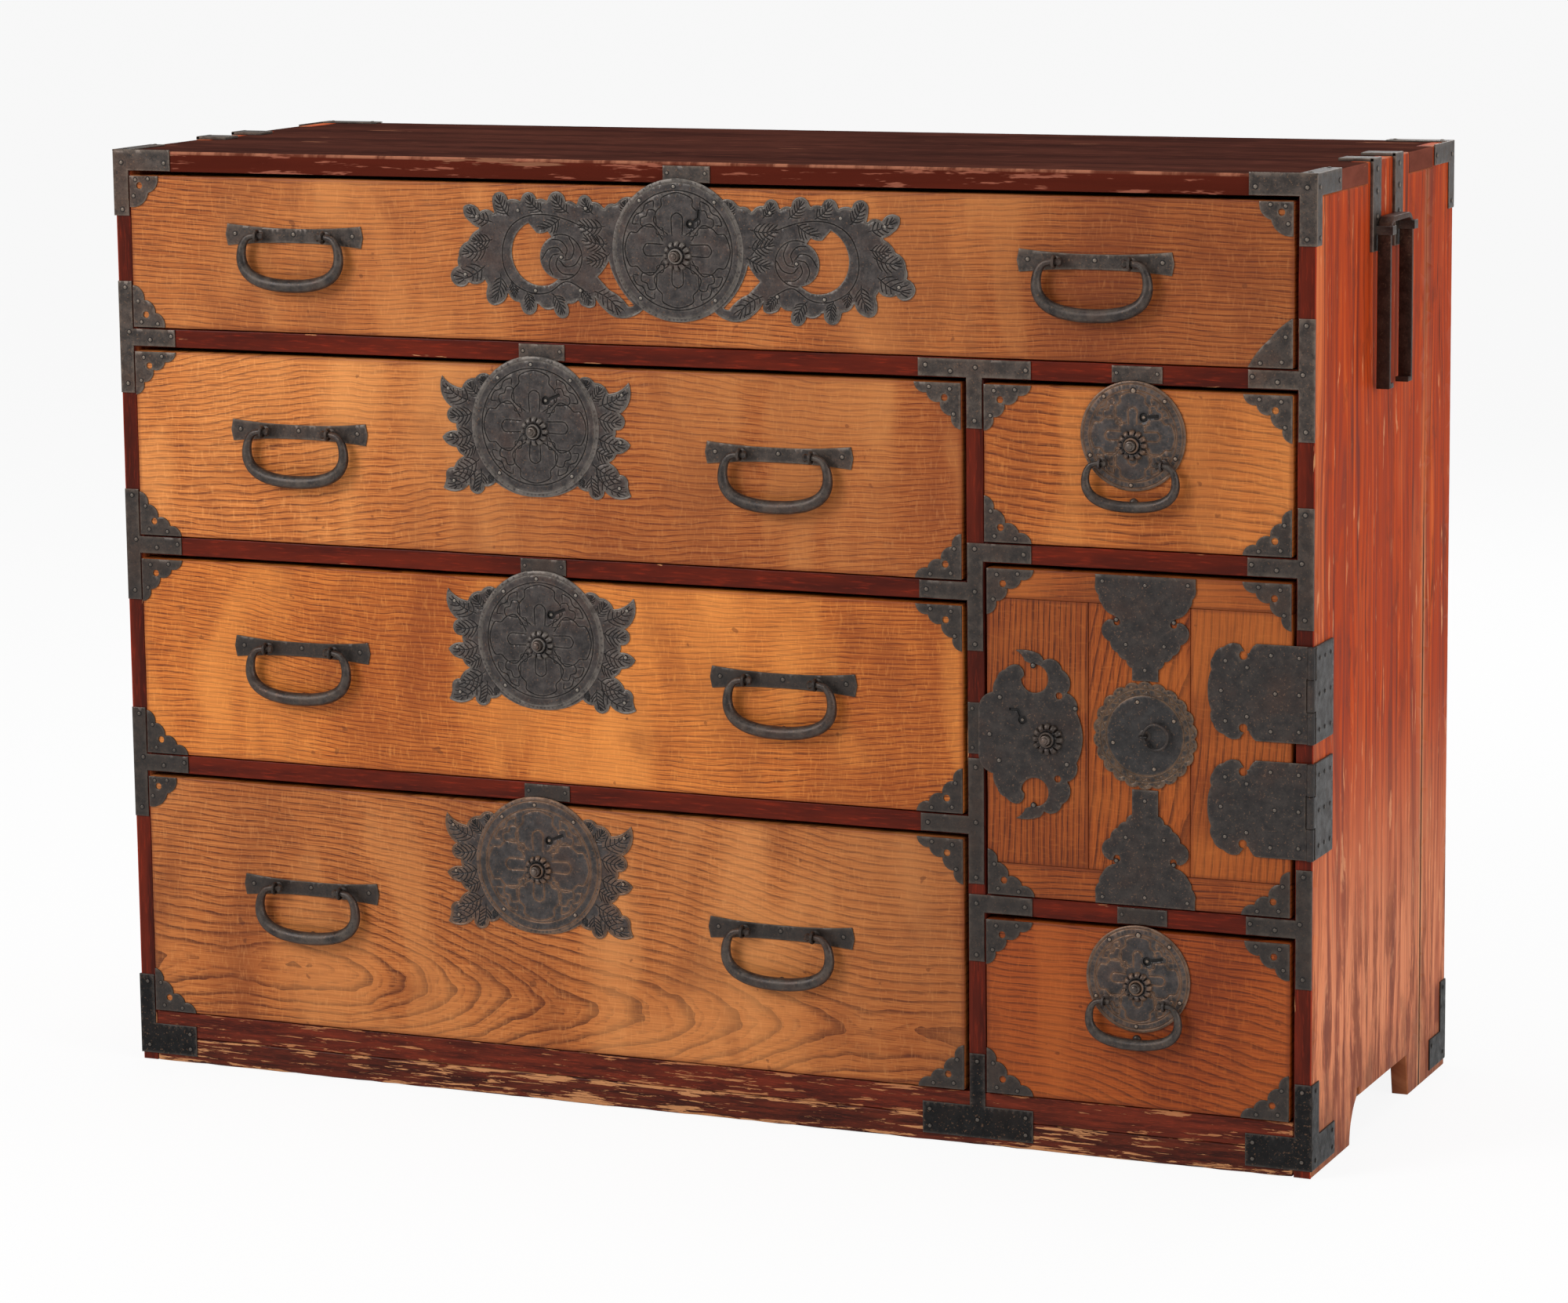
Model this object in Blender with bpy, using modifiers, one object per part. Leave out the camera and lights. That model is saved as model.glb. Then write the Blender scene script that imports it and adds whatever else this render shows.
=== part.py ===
"""Builds the tansu chest at rest: one object for each sub-part, in metres, +Z up, with the front towards -Y."""

import math

import bmesh
import bpy
from mathutils import Matrix, Vector

MM = 0.001
DEG = math.pi / 180

# Room between two pieces that meet, the depth an iron is let into its own board, and the border of wood it keeps.
FIT = 0.3 * MM
SINK = 0.5 * MM
EDGE = 0.4 * MM

# The case and its boards.
CASE_W = 1200 * MM
CASE_H = 895 * MM
CASE_D = 432 * MM
SIDE_T = 16 * MM
TOP_T = 19 * MM
BACK_T = 11 * MM
BASE_H = 25 * MM
BASE_T = 22 * MM
BOTTOM_T = 25 * MM
RAIL_T = 18 * MM
STILE_W = 17 * MM
STILE_X = 282.5 * MM
RAIL_Z = {
    "top": 707 * MM,
    "left_upper": 505 * MM,
    "left_lower": 290 * MM,
    "right_upper": 541 * MM,
    "right_lower": 218 * MM,
}

HALF_W = CASE_W / 2
FRONT = -CASE_D / 2
BACK = CASE_D / 2
INSIDE_X = HALF_W - SIDE_T
INSIDE_BACK = BACK - BACK_T
INSIDE_FLOOR = BASE_H + BOTTOM_T
INSIDE_TOP = CASE_H - TOP_T
STILE_LEFT = STILE_X - STILE_W / 2
STILE_RIGHT = STILE_X + STILE_W / 2

# Places along the depth where the finger joints between top board and side change over.
FINGER_CUTS = (-62 * MM, 68 * MM, 146 * MM)

# The foot cut-out of a side panel: where the feet end on the floor, its ceiling and the small notch at the front.
FOOT_FRONT_Y = -97 * MM
FOOT_BACK_Y = 94 * MM
FOOT_SLOPE_FRONT = 21 * MM
FOOT_SLOPE_BACK = 8 * MM
FOOT_CEILING = 40 * MM
FOOT_NOTCH_H = 8 * MM
FOOT_NOTCH_W = 12 * MM
FOOT_NOTCH_SLOPE = 2 * MM
FOOT_SWELL_SHARE = -0.25

# Drawer fronts and door in their openings.
FACE_PROUD = 2 * MM
FACE = FRONT - FACE_PROUD
FRONT_T = 20 * MM
GAP_LEFT = 1 * MM
GAP_RIGHT = 3.5 * MM
GAP_BOTTOM = 1 * MM
GAP_TOP = 4 * MM
DOOR_GAP_LEFT = 3 * MM

# Trays behind the drawer fronts.
TRAY_SIDE_T = 11 * MM
TRAY_FLOOR_T = 8 * MM
TRAY_LOWER = 5 * MM
TRAY_LIFT = 0.5 * MM
TRAY_INSET = 0.5 * MM
TRAY_BACK_GAP = 8 * MM

# Irons of the frame.
IRON_T = 1.5 * MM
IRON_LEG_W = 15 * MM
IRON_LEG_HALF = 54 * MM
IRON_ARM = 61 * MM
IRON_ARM_H = 16.4 * MM
CORNER_LEG = 62 * MM
CORNER_WRAP = 70 * MM
CORNER_WRAP_W = 13 * MM
BACK_WRAP = 66 * MM
BACK_WRAP_W = 18 * MM
BASE_IRON_BOTTOM = 7 * MM
BASE_IRON_TOP = 37 * MM
BASE_LEG_TOP = 86 * MM
BASE_WRAP = 68 * MM
BASE_WRAP_W = 20 * MM
BASE_BACK_WRAP = 54 * MM
PAD_INSET = 3 * MM
PAD_SINK = 0.6 * MM
STRIKE_W = 47 * MM
STRIKE_H = 15 * MM
DOOR_STRIKE_Z = 389 * MM

# Carrying fittings on the sides: strap, guide and sliding loop.
STRAP_W = 25 * MM
STRAP_T = 3 * MM
STRAP_BOTTOM = 814 * MM
STRAP_INWARD = 30 * MM
LOOP_LEG_Y = (-42.5 * MM, 27 * MM)
LOOP_LEG_T = 5 * MM
LOOP_DEPTH = 12.4 * MM
LOOP_BOTTOM = 690 * MM
LOOP_TOP = 845 * MM
LOOP_CORNER_R = 15.5 * MM
LOOP_FOOT = 9 * MM
LOOP_FOOT_T = 4.5 * MM
GUIDE_Z = 822 * MM
GUIDE_H = 8 * MM
GUIDE_T = 2.5 * MM
GUIDE_ROOM = 0.5 * MM
LOOP_X = HALF_W + STRAP_T + FIT + GUIDE_ROOM

# Bails, their eyes, the stop stud and the bow-tie plate. A bail path is in shares of half its outer width.
PIVOT_OUT = 10 * MM
PIVOT_Y = FACE - PIVOT_OUT
BAIL_HALF = 57.5 * MM
SMALL_BAIL_HALF = 46.5 * MM
BAIL_SHARES = (
    (0.487, 0, 0.042),
    (0.529, 0, 0.07),
    (0.572, 0, 0.047),
    (0.665, 0, 0.049),
    (0.8, -0.043, 0.057),
    (0.896, -0.183, 0.073),
    (0.91, -0.417, 0.087),
    (0.809, -0.661, 0.101),
    (0.452, -0.8, 0.108),
    (0, -0.817, 0.11),
)
EYE_AT_SHARE = 0.617
EYE_OUTER_SHARE = 0.108
EYE_INNER_SHARE = 0.062
EYE_THICK_SHARE = 0.063
EYE_NECK_SHARE = 0.04
EYE_SIDES = 8
STUD_R = 4 * MM
STUD_H = 3.2 * MM
STUD_UP = 3 * MM
STUD_SIDES = 6
BOW_TIE_HALF = 72.5 * MM
BOW_TIE_SHARES = ((-1, 0.14), (-0.72, 0.145), (-0.3, 0.083), (0.3, 0.083), (0.72, 0.145), (1, 0.14))
BAILS = {
    "top": ((-405 * MM, 818 * MM), (398 * MM, 814.5 * MM)),
    "left_upper": ((-405 * MM, 631 * MM), (92 * MM, 630 * MM)),
    "left_middle": ((-408 * MM, 421 * MM), (94 * MM, 421 * MM)),
    "left_lower": ((-405 * MM, 186.5 * MM), (89 * MM, 184 * MM)),
}
SMALL_BAILS = {"right_upper": (434 * MM, 637 * MM), "right_lower": (437 * MM, 149 * MM)}

# Plates on the drawers and the door, and the lock buttons.
PLATE_T = 1.5 * MM
PLATE_BACK = FACE - FIT
PLATE_FRONT = PLATE_BACK - PLATE_T
LOCK_R = 66 * MM
SMALL_LOCK_R = 49.5 * MM
ROSETTE_R = 12 * MM
ROSETTE_TOP_R = 7.5 * MM
ROSETTE_RIM = 1.2 * MM
ROSETTE_H = 3.6 * MM
ROSETTE_SIDES = 12
SMALL_LOCK_SIDES = 28
BUTTON_R = 4.5 * MM
BUTTON_HOLE_R = 5 * MM
BUTTON_OUT = 12 * MM
BUTTON_DOME = 2.5 * MM
BUTTON_DOME_R = 2.6 * MM
BUTTON_IN = 7 * MM
BUTTON_BORE_R = 5.4 * MM
BUTTON_BORE = 13 * MM
BUTTON_SIDES = 10
STRIKE_X = {
    "top": 2.5 * MM,
    "left_upper": -147.5 * MM,
    "left_middle": -150 * MM,
    "left_lower": -150.5 * MM,
    "right_upper": 436.5 * MM,
    "right_lower": 441.5 * MM,
}
LOCKS = {
    "top": (-6 * MM, 814.5 * MM, 5 * MM),
    "left_upper": (-154.5 * MM, 646.3 * MM, 4 * MM),
    "left_middle": (-153 * MM, 444.7 * MM, 4 * MM),
    "left_lower": (-159.5 * MM, 228.5 * MM, 4 * MM),
    "right_upper": (433.5 * MM, 661.5 * MM, 8 * MM),
    "right_lower": (438.5 * MM, 170 * MM, 7 * MM),
    "door": (353 * MM, 386.5 * MM, 2.5 * MM),
}

# Door fittings.
DOOR_MIDDLE_X = 445 * MM
DOOR_PLATE_LEFT = 286 * MM
DOOR_PLATE_UNIT = 100 * MM
ORNAMENT_HALF = 47 * MM
RING_PLATE_Z = 393 * MM
RING_PLATE_R = 49 * MM
RING_PLATE_LOBES = 22
RING_PLATE_SHARE = 0.965
RING_PLATE_SWELL_SHARE = 0.25
RING_R = 11.5 * MM
RING_WIRE = 1.25 * MM
RING_OUT = 5 * MM
RING_EYE_OUTER = 4.4 * MM
RING_EYE_INNER = 2.1 * MM
RING_EYE_H = 2.4 * MM
RING_SEGMENTS = 20
RING_SIDES = 6
HINGE_Z = (334 * MM, 438.5 * MM)
HINGE_HALF = 43.5 * MM
HINGE_KNUCKLE_R = 3.5 * MM
HINGE_BORE_R = 2 * MM
HINGE_PIN_R = 1.5 * MM
HINGE_LEAF_T = 2 * MM
HINGE_LEAF_END = -164 * MM
HINGE_SIDES = 8
HINGE_Y = FRONT - FIT - HINGE_KNUCKLE_R
HINGE_X = HALF_W + FIT + HINGE_LEAF_T - HINGE_KNUCKLE_R

# The chest stands with the middle of its whole depth on the origin: the bails reach further than the back.
BAIL_REACH = BAIL_HALF * max(thick for _, _, thick in BAIL_SHARES)
CASE_Y = (BAIL_REACH - PIVOT_Y - BACK) / 2

# Outlines, as shares of the named size given where each is used. The third number of a row says how far the
# stretch to the next corner swells outwards, as a share of half its length.
ARC_ERROR = 0.65 * MM
WING_SHARES = (
    (0, 1, 0.21), (-0.74, 0.69, 0.55), (-0.92, 0.66, 0), (-1.14, 0.49, -0.27), (-1.45, 0.66, 0.37), (-1.34, 0.25, 0.72),
    (-1.21, -0.06, 0.12), (-1.47, -0.22, 0.3), (-1.23, -0.36, 0.2), (-1.2, -0.47, 0.15), (-1.47, -0.94, 0.38),
    (-1.08, -0.88, 1), (-0.82, -0.88, 0.2), (-0.62, -0.78, 0.17), (0, -1, 0),
)
LONG_WING_SHARES = (
    (0, 1, 0.19), (-0.7, 0.72, 0.45), (-0.91, 0.66, 0), (-1.09, 0.55, 0.15), (-1.33, 0.65, 0.9), (-1.53, 0.58, 0.1),
    (-1.72, 0.63, 0.75), (-2, 0.66, 0), (-2.21, 0.67, 0.9), (-2.41, 0.66, 0), (-2.48, 0.61, 0.6),
    (-2.85, 0.61, -0.1), (-2.77, 0.48, 0.05), (-3.06, 0.48, 0.5), (-3.3, 0.51, -0.15), (-3.06, 0.23, 0.3),
    (-3.24, 0.01, 0.3), (-3.41, -0.25, 0.1), (-3.52, -0.43, 0.35), (-3.23, -0.53, 0), (-2.97, -0.49, 0),
    (-2.94, -0.7, 0.7), (-2.64, -0.64, 0.15), (-2.45, -0.81, 0.9), (-2.18, -0.79, 0.15), (-1.95, -0.88, 0.85),
    (-1.69, -0.83, -0.1), (-1.5, -0.8, -0.3), (-1.35, -0.84, -0.5), (-1.24, -0.78, 0.35), (-0.52, -0.86, 0.14), (0, -1, 0),
)
CRESCENT_SHARES = (
    (-2.3, 0.33, 0.9), (-2, -0.54, 0.1), (-1.85, -0.45, -0.77), (-1.94, 0.14, 0), (-2, 0.22, -0.2),
    (-2.17, 0.19, 0), (-2.3, 0.33, 0),
)
SICKLE_SHARES = (
    (-1.06, -0.17, -0.1), (-1.24, -0.4, 0), (-1.06, -0.58, -0.15), (-0.77, -0.8, 0.3), (-0.68, -0.78, -0.16),
    (-1.06, -0.17, 0),
)
DOOR_PLATE_SHARES = (
    (1, 0, 0.12), (0.94, 0.23, 0.45), (0.85, 0.405, 0.5), (0.8, 0.615, 0.55), (0.63, 0.69, 0.1),
    (0.59, 0.745, 0.15), (0.36, 0.77, -0.2), (0.45, 0.675, 0), (0.52, 0.65, -2.5), (0.41, 0.505, 0),
    (0.44, 0.54, 0.3), (0.39, 0.635, 0.3), (0.26, 0.585, 0.3), (0.18, 0.505, 0.2), (0.14, 0.375, 0.35),
    (0, 0.215, 0), (0, 0, 0),
)
ORNAMENT_SHARES = (
    (-1, 0, 0), (-1, -0.17, 0.3), (-0.93, -0.4, 0.25), (-0.87, -0.57, 0.25), (-0.62, -0.78, 0),
    (-0.55, -0.83, -2.7), (-0.63, -0.87, 0), (-0.7, -0.85, 0.8), (-0.7, -1.28, 0.35), (-0.55, -1.49, 0.35),
    (-0.38, -1.62, 0.35), (-0.26, -1.77, 0),
)
HINGE_SHARES = (
    (-1.1, 1, 0.15), (-1.25, 0.8, 0), (-1.29, 0.79, -4), (-1.36, 0.84, 0), (-1.45, 0.97, 0.3),
    (-1.79, 0.9, 0.3), (-2.01, 0.7, 0.3), (-2.05, 0.42, 0.12), (-2.13, 0, 0),
)
CORNER_IRONS = {
    "four": (45 * MM, ((1, 0, 0.45), (0.73, 0.21, 0.45), (0.44, 0.39, 0.45), (0.2, 0.66, 0.45), (0, 0.93, 0))),
    "two": (31 * MM, ((1, 0, 0.4), (0.65, 0.52, 0.4), (0, 0.97, 0))),
    "three": (40 * MM, ((0.85, 0, 0.45), (0.6, 0.35, 0.45), (0.3, 0.65, 0.45), (0, 1, 0))),
    "plain": (44 * MM, ((0.93, 0, 0.1), (0.5, 0.55, 0.1), (0, 1, 0))),
    "wide": (42 * MM, ((1, 0, 0.45), (0.66, 0.3, 0.45), (0.32, 0.55, 0.45), (0, 0.79, 0))),
}
# Which corner iron sits at each corner of a front: bottom left, bottom right, top left, top right.
CORNERS = {
    "top": ("three", "plain", "two", "two"),
    "left_upper": ("four", "four", "four", "four"),
    "left_middle": ("four", "four", "four", "four"),
    "left_lower": ("four", "four", "two", "four"),
    "right_upper": ("four", "four", "four", "four"),
    "right_lower": ("four", "four", "four", "wide"),
    "door": ("four", "four", "four", "four"),
}

# Colours as linear RGB, then roughness and metallic value.
LOOKS = {
    "front_wood": ((0.5, 0.18, 0.045), 0.35, 0),
    "frame_wood": ((0.11, 0.018, 0.008), 0.35, 0),
    "base_wood": ((0.13, 0.035, 0.015), 0.6, 0),
    "top_wood": ((0.07, 0.022, 0.017), 0.35, 0),
    "side_wood": ((0.5, 0.11, 0.035), 0.45, 0),
    "inner_wood": ((0.45, 0.3, 0.16), 0.7, 0),
    "iron": ((0.045, 0.042, 0.042), 0.5, 0.8),
    "button_iron": ((0.07, 0.065, 0.06), 0.4, 0.9),
}

PLANES = {
    "X": Matrix(((0, 0, 1), (1, 0, 0), (0, 1, 0))),
    "Y": Matrix(((1, 0, 0), (0, 0, -1), (0, 1, 0))),
    "Z": Matrix.Identity(3),
}
WELD = 0.001 * MM
SHARP_ANGLE = 40 * DEG
NECK_SHARE = 0.8
QUARTER_SWELL_SHARE = math.tan(math.pi / 8)


def place_on(axis, along):
    """The transform that stands a flat drawing up square to an axis, at a place along it."""
    place = PLANES[axis].to_4x4()
    place.translation["XYZ".index(axis)] = along
    return place


def solid_from(draft, place):
    """A welded mesh object with the evaluated shape of a curve or a modified mesh, which is then removed."""
    cutters.objects.link(draft)
    graph = bpy.context.evaluated_depsgraph_get()
    mesh = bpy.data.meshes.new_from_object(draft.evaluated_get(graph))
    name = draft.name
    bpy.data.objects.remove(draft)
    mesh.transform(place)
    work = bmesh.new()
    work.from_mesh(mesh)
    bmesh.ops.remove_doubles(work, verts=work.verts, dist=WELD)
    bmesh.ops.recalc_face_normals(work, faces=work.faces)
    work.to_mesh(mesh)
    work.free()
    return bpy.data.objects.new(name, mesh)


def flat(name, outlines, axis, low, high):
    """A plate between two places along an axis. The first outline is its edge and any others are holes."""
    curve = bpy.data.curves.new(name, "CURVE")
    curve.dimensions = "2D"
    curve.fill_mode = "BOTH"
    curve.extrude = (high - low) / 2
    for outline in outlines:
        spline = curve.splines.new("POLY")
        spline.points.add(len(outline) - 1)
        for point, (u, v) in zip(spline.points, outline):
            point.co = (u, v, 0, 1)
        spline.use_cyclic_u = True
    return solid_from(bpy.data.objects.new(name, curve), place_on(axis, (low + high) / 2))


def block(name, low, high):
    mesh = bpy.data.meshes.new(name)
    middle = [(a + b) / 2 for a, b in zip(low, high)]
    sizes = [b - a for a, b in zip(low, high)]
    work = bmesh.new()
    bmesh.ops.create_cube(work, size=1, matrix=Matrix.LocRotScale(Vector(middle), None, Vector(sizes)))
    work.to_mesh(mesh)
    work.free()
    return bpy.data.objects.new(name, mesh)


def turned(name, profile, axis, centre, sides):
    """A profile of (radius, height) from top to bottom, screwed once round an axis through the centre."""
    mesh = bpy.data.meshes.new(name)
    mesh.from_pydata([(r, 0, h) for r, h in profile], [(i, i + 1) for i in range(len(profile) - 1)], [])
    draft = bpy.data.objects.new(name, mesh)
    screw = draft.modifiers.new("Turn", "SCREW")
    screw.steps = screw.render_steps = sides
    screw.use_merge_vertices = True
    screw.merge_threshold = WELD
    place = PLANES[axis].to_4x4()
    place.translation = centre
    return solid_from(draft, place)


def rod(name, points, place):
    """A round bar along points of (u, v, radius) drawn in a plane, with closed ends."""
    curve = bpy.data.curves.new(name, "CURVE")
    curve.dimensions = "3D"
    curve.bevel_depth = 1
    curve.bevel_resolution = 2
    curve.use_fill_caps = True
    spline = curve.splines.new("POLY")
    spline.points.add(len(points) - 1)
    for point, (u, v, radius) in zip(spline.points, points):
        point.co = (u, v, 0, 1)
        point.radius = radius
    return solid_from(bpy.data.objects.new(name, curve), place)


def arc_path(rows, size):
    """Points along rows of (u, v, swell) in shares of a size, with an arc where a stretch swells."""
    points = []
    for (u, v, swell), (end_u, end_v, _) in zip(rows, rows[1:]):
        start = Vector((u, v)) * size
        half = (Vector((end_u, end_v)) * size - start) / 2
        points.append(start)
        angle = 4 * math.atan(swell)
        if not swell:
            continue
        radius = half.length / math.sin(abs(angle) / 2)
        count = math.ceil(abs(angle) / (2 * math.acos(1 - min(ARC_ERROR / radius, 1))))
        middle = start + half + Vector((half.y, -half.x)) * (swell - 1 / swell) / 2
        for step in range(1, count):
            points.append(middle + Matrix.Rotation(angle * step / count, 2) @ (start - middle))
    points.append(Vector(rows[-1][:2]) * size)
    return points


def circle(radius, sides):
    return [Vector((math.cos(a), math.sin(a))) * radius for a in (math.tau * i / sides for i in range(sides))]


def rectangle(left, right, low, high):
    return [(left, low), (right, low), (right, high), (left, high)]


def moved(points, u, v):
    return [(point[0] + u, point[1] + v) for point in points]


def flipped(points, u, v):
    return [(point[0] * u, point[1] * v) for point in points]


def mirrored(points, u, v):
    """An open half outline followed by its mirror image, without repeating points on the mirror line."""
    other = [p for p in reversed(flipped(points, u, v)) if (Vector(p) - Vector(points[-1])).length > WELD]
    if (Vector(other[-1]) - Vector(points[0])).length < WELD:
        other.pop()
    return list(points) + other


def cylinder(name, radius, axis, centre, low, high, sides):
    """A round bar square to a plane: centre is its place (u, v) in that plane."""
    mesh = bpy.data.meshes.new(name)
    work = bmesh.new()
    bmesh.ops.create_cone(
        work, cap_ends=True, segments=sides, radius1=radius, radius2=radius, depth=high - low,
        matrix=Matrix.Translation((*centre, 0)),
    )
    work.to_mesh(mesh)
    work.free()
    mesh.transform(place_on(axis, (low + high) / 2))
    return bpy.data.objects.new(name, mesh)


def material(name, look):
    colour, roughness, metallic = LOOKS[look]
    made = bpy.data.materials.new(name)
    made.use_nodes = True
    shader = made.node_tree.nodes["Principled BSDF"]
    shader.inputs["Base Color"].default_value = (*colour, 1)
    shader.inputs["Roughness"].default_value = roughness
    shader.inputs["Metallic"].default_value = metallic
    return made


def attach(child, parent):
    """Parents an object whose shape or place is given in the case's own frame."""
    bpy.context.view_layer.update()
    child.parent = parent
    child.matrix_parent_inverse = parent.matrix_world.inverted() @ case.matrix_world


def axis_at(name, place, parent):
    """An empty on the axis of a moving piece."""
    empty = bpy.data.objects.new(name, None)
    empty.empty_display_size = PIVOT_OUT
    empty.location = place
    parts.objects.link(empty)
    attach(empty, parent)
    return empty


def node(name, solid, look, parent):
    solid.name = name
    solid.data.name = name
    solid.data.materials.append(material(f"{name}_{look}", look))
    parts.objects.link(solid)
    attach(solid, parent)
    return solid


def combine(target, operation, pieces):
    """Joins pieces to a sub-part or cuts them from it, with one exact Boolean."""
    group = bpy.data.collections.new(f"{target.name}_{operation.lower()}")
    cutters.children.link(group)
    for piece in pieces:
        group.objects.link(piece)
        piece.parent = target
        piece.hide_render = True
        piece.display_type = "WIRE"
    change = target.modifiers.new(operation.title(), "BOOLEAN")
    change.operation = operation
    change.operand_type = "COLLECTION"
    change.collection = group
    change.solver = "EXACT"


def smooth(solid):
    solid.data.shade_smooth()
    solid.data.set_sharp_from_angle(angle=SHARP_ANGLE)


def rail_middle(name):
    return RAIL_Z[name] + RAIL_T / 2


def sided(side, first, second):
    """Two distances from the middle plane as places on one side of it, the lower first."""
    return sorted((side * first, side * second))


def front_bar(name, left, right, low, high):
    """One bar of a frame iron, clear of the boards behind it."""
    return block(name, (left, FRONT - IRON_T, low), (right, FRONT - FIT, high))


def front_pad(name, left, right, low, high):
    """The hidden foot that joins a frame iron to its own board."""
    return block(
        name,
        (left + PAD_INSET, FRONT - IRON_T / 2, low + PAD_INSET),
        (right - PAD_INSET, FRONT + PAD_SINK, high - PAD_INSET),
    )


def strike(name, middle, low, high, half):
    return block(name, (middle - half, FRONT - IRON_T, low), (middle + half, FRONT + SINK, high))


def side_bar(name, side, front, back, low, high):
    """One bar of a corner iron where it wraps onto the side."""
    left, right = sided(side, HALF_W + FIT, HALF_W + IRON_T)
    return block(name, (left, front, low), (right, back, high))


def side_pad(name, side, front, back, low, high):
    left, right = sided(side, HALF_W - PAD_SINK, HALF_W + IRON_T / 2)
    return block(
        name,
        (left, front + PAD_INSET, low + PAD_INSET),
        (right, back - PAD_INSET, high - PAD_INSET),
    )


def top_bar(name, side, inner, front, back):
    """One bar of a corner iron where it wraps onto the top."""
    left, right = sided(side, inner, HALF_W + IRON_T)
    return block(name, (left, front, CASE_H + FIT), (right, back, CASE_H + IRON_T))


def side_outline():
    """The side panel seen from the side, with its feet below and its finger joints above."""
    first, second, third = FINGER_CUTS
    shoulder = INSIDE_TOP - FIT
    slope_top = FOOT_FRONT_Y + FOOT_SLOPE_FRONT
    notch_top = FOOT_CEILING + FOOT_NOTCH_H
    foot = arc_path(((FOOT_FRONT_Y, 0, FOOT_SWELL_SHARE), (slope_top, FOOT_CEILING, 0)), 1)
    notch = [
        (slope_top + FOOT_NOTCH_SLOPE, notch_top),
        (slope_top + FOOT_NOTCH_W - FOOT_NOTCH_SLOPE, notch_top),
        (slope_top + FOOT_NOTCH_W, FOOT_CEILING),
    ]
    arch_back = [(FOOT_BACK_Y - FOOT_SLOPE_BACK, FOOT_CEILING), (FOOT_BACK_Y, 0), (BACK, 0), (BACK, CASE_H)]
    fingers = [
        (third, CASE_H), (third, shoulder), (second, shoulder), (second, CASE_H), (first, CASE_H),
        (first, shoulder), (FRONT, shoulder),
    ]
    return [(FRONT, 0)] + foot + notch + arch_back + fingers


def corner_irons(side):
    """The front and rear corner irons of one side: plate on the front, wraps on the side and the top."""
    edge = FRONT - IRON_T
    leg_low = CASE_H - CORNER_LEG
    arm_low = INSIDE_TOP + EDGE
    lid = CASE_H + IRON_T
    rear = BACK - EDGE
    arm = sided(side, HALF_W - IRON_ARM, HALF_W + IRON_T)
    leg = sided(side, HALF_W - IRON_LEG_W, HALF_W + IRON_T)
    rear_low = BASE_IRON_BOTTOM
    return [
        front_bar("corner_top_arm", *arm, arm_low, lid),
        front_bar("corner_top_leg", *leg, leg_low, lid),
        side_bar("corner_top_side_arm", side, edge, FRONT + CORNER_WRAP, arm_low, lid),
        side_bar("corner_top_side_leg", side, edge, FRONT + CORNER_WRAP_W, leg_low, lid),
        side_pad("corner_top_pad", side, FRONT, FRONT + CORNER_WRAP_W, leg_low, INSIDE_TOP),
        top_bar("corner_top_lid", side, HALF_W - IRON_LEG_W, edge, FRONT + CORNER_WRAP),
        front_bar("corner_base_arm", *arm, BASE_IRON_BOTTOM, BASE_IRON_TOP),
        front_bar("corner_base_leg", *leg, BASE_IRON_BOTTOM, BASE_LEG_TOP),
        side_bar("corner_base_side_arm", side, edge, FRONT + BASE_WRAP, BASE_IRON_BOTTOM, BASE_IRON_TOP),
        side_bar("corner_base_side_leg", side, edge, FRONT + BASE_WRAP_W, BASE_IRON_BOTTOM, BASE_LEG_TOP),
        side_pad("corner_base_pad", side, FRONT, FRONT + BASE_WRAP_W, BASE_IRON_TOP, BASE_LEG_TOP),
        side_bar("rear_top_arm", side, BACK - BACK_WRAP, rear, CASE_H - BACK_WRAP_W, lid),
        side_bar("rear_top_leg", side, BACK - BACK_WRAP_W, rear, leg_low, lid),
        side_pad("rear_top_pad", side, BACK - BACK_WRAP_W, rear, leg_low, CASE_H - BACK_WRAP_W),
        top_bar("rear_top_lid", side, HALF_W - IRON_ARM, BACK - BACK_WRAP_W, rear),
        side_bar("rear_base_arm", side, BACK - BASE_BACK_WRAP, rear, rear_low, BASE_IRON_TOP),
        side_bar("rear_base_leg", side, BACK - BACK_WRAP_W, rear, rear_low, BASE_LEG_TOP),
        side_pad("rear_base_pad", side, BACK - BACK_WRAP_W, rear, BASE_IRON_TOP, BASE_LEG_TOP),
    ]


def side_t_irons(side, rails):
    made = []
    for rail in rails:
        middle = rail_middle(rail)
        leg = sided(side, HALF_W - IRON_LEG_W, HALF_W)
        arm = sided(side, HALF_W - IRON_ARM, HALF_W)
        low, high = middle - IRON_LEG_HALF, middle + IRON_LEG_HALF
        made.append(front_bar(f"t_leg_{rail}", *leg, low, high))
        made.append(front_bar(f"t_arm_{rail}", *arm, middle - IRON_ARM_H / 2, middle + IRON_ARM_H / 2))
        made.append(front_pad(f"t_pad_{rail}", *leg, low, high))
    return made


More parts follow.
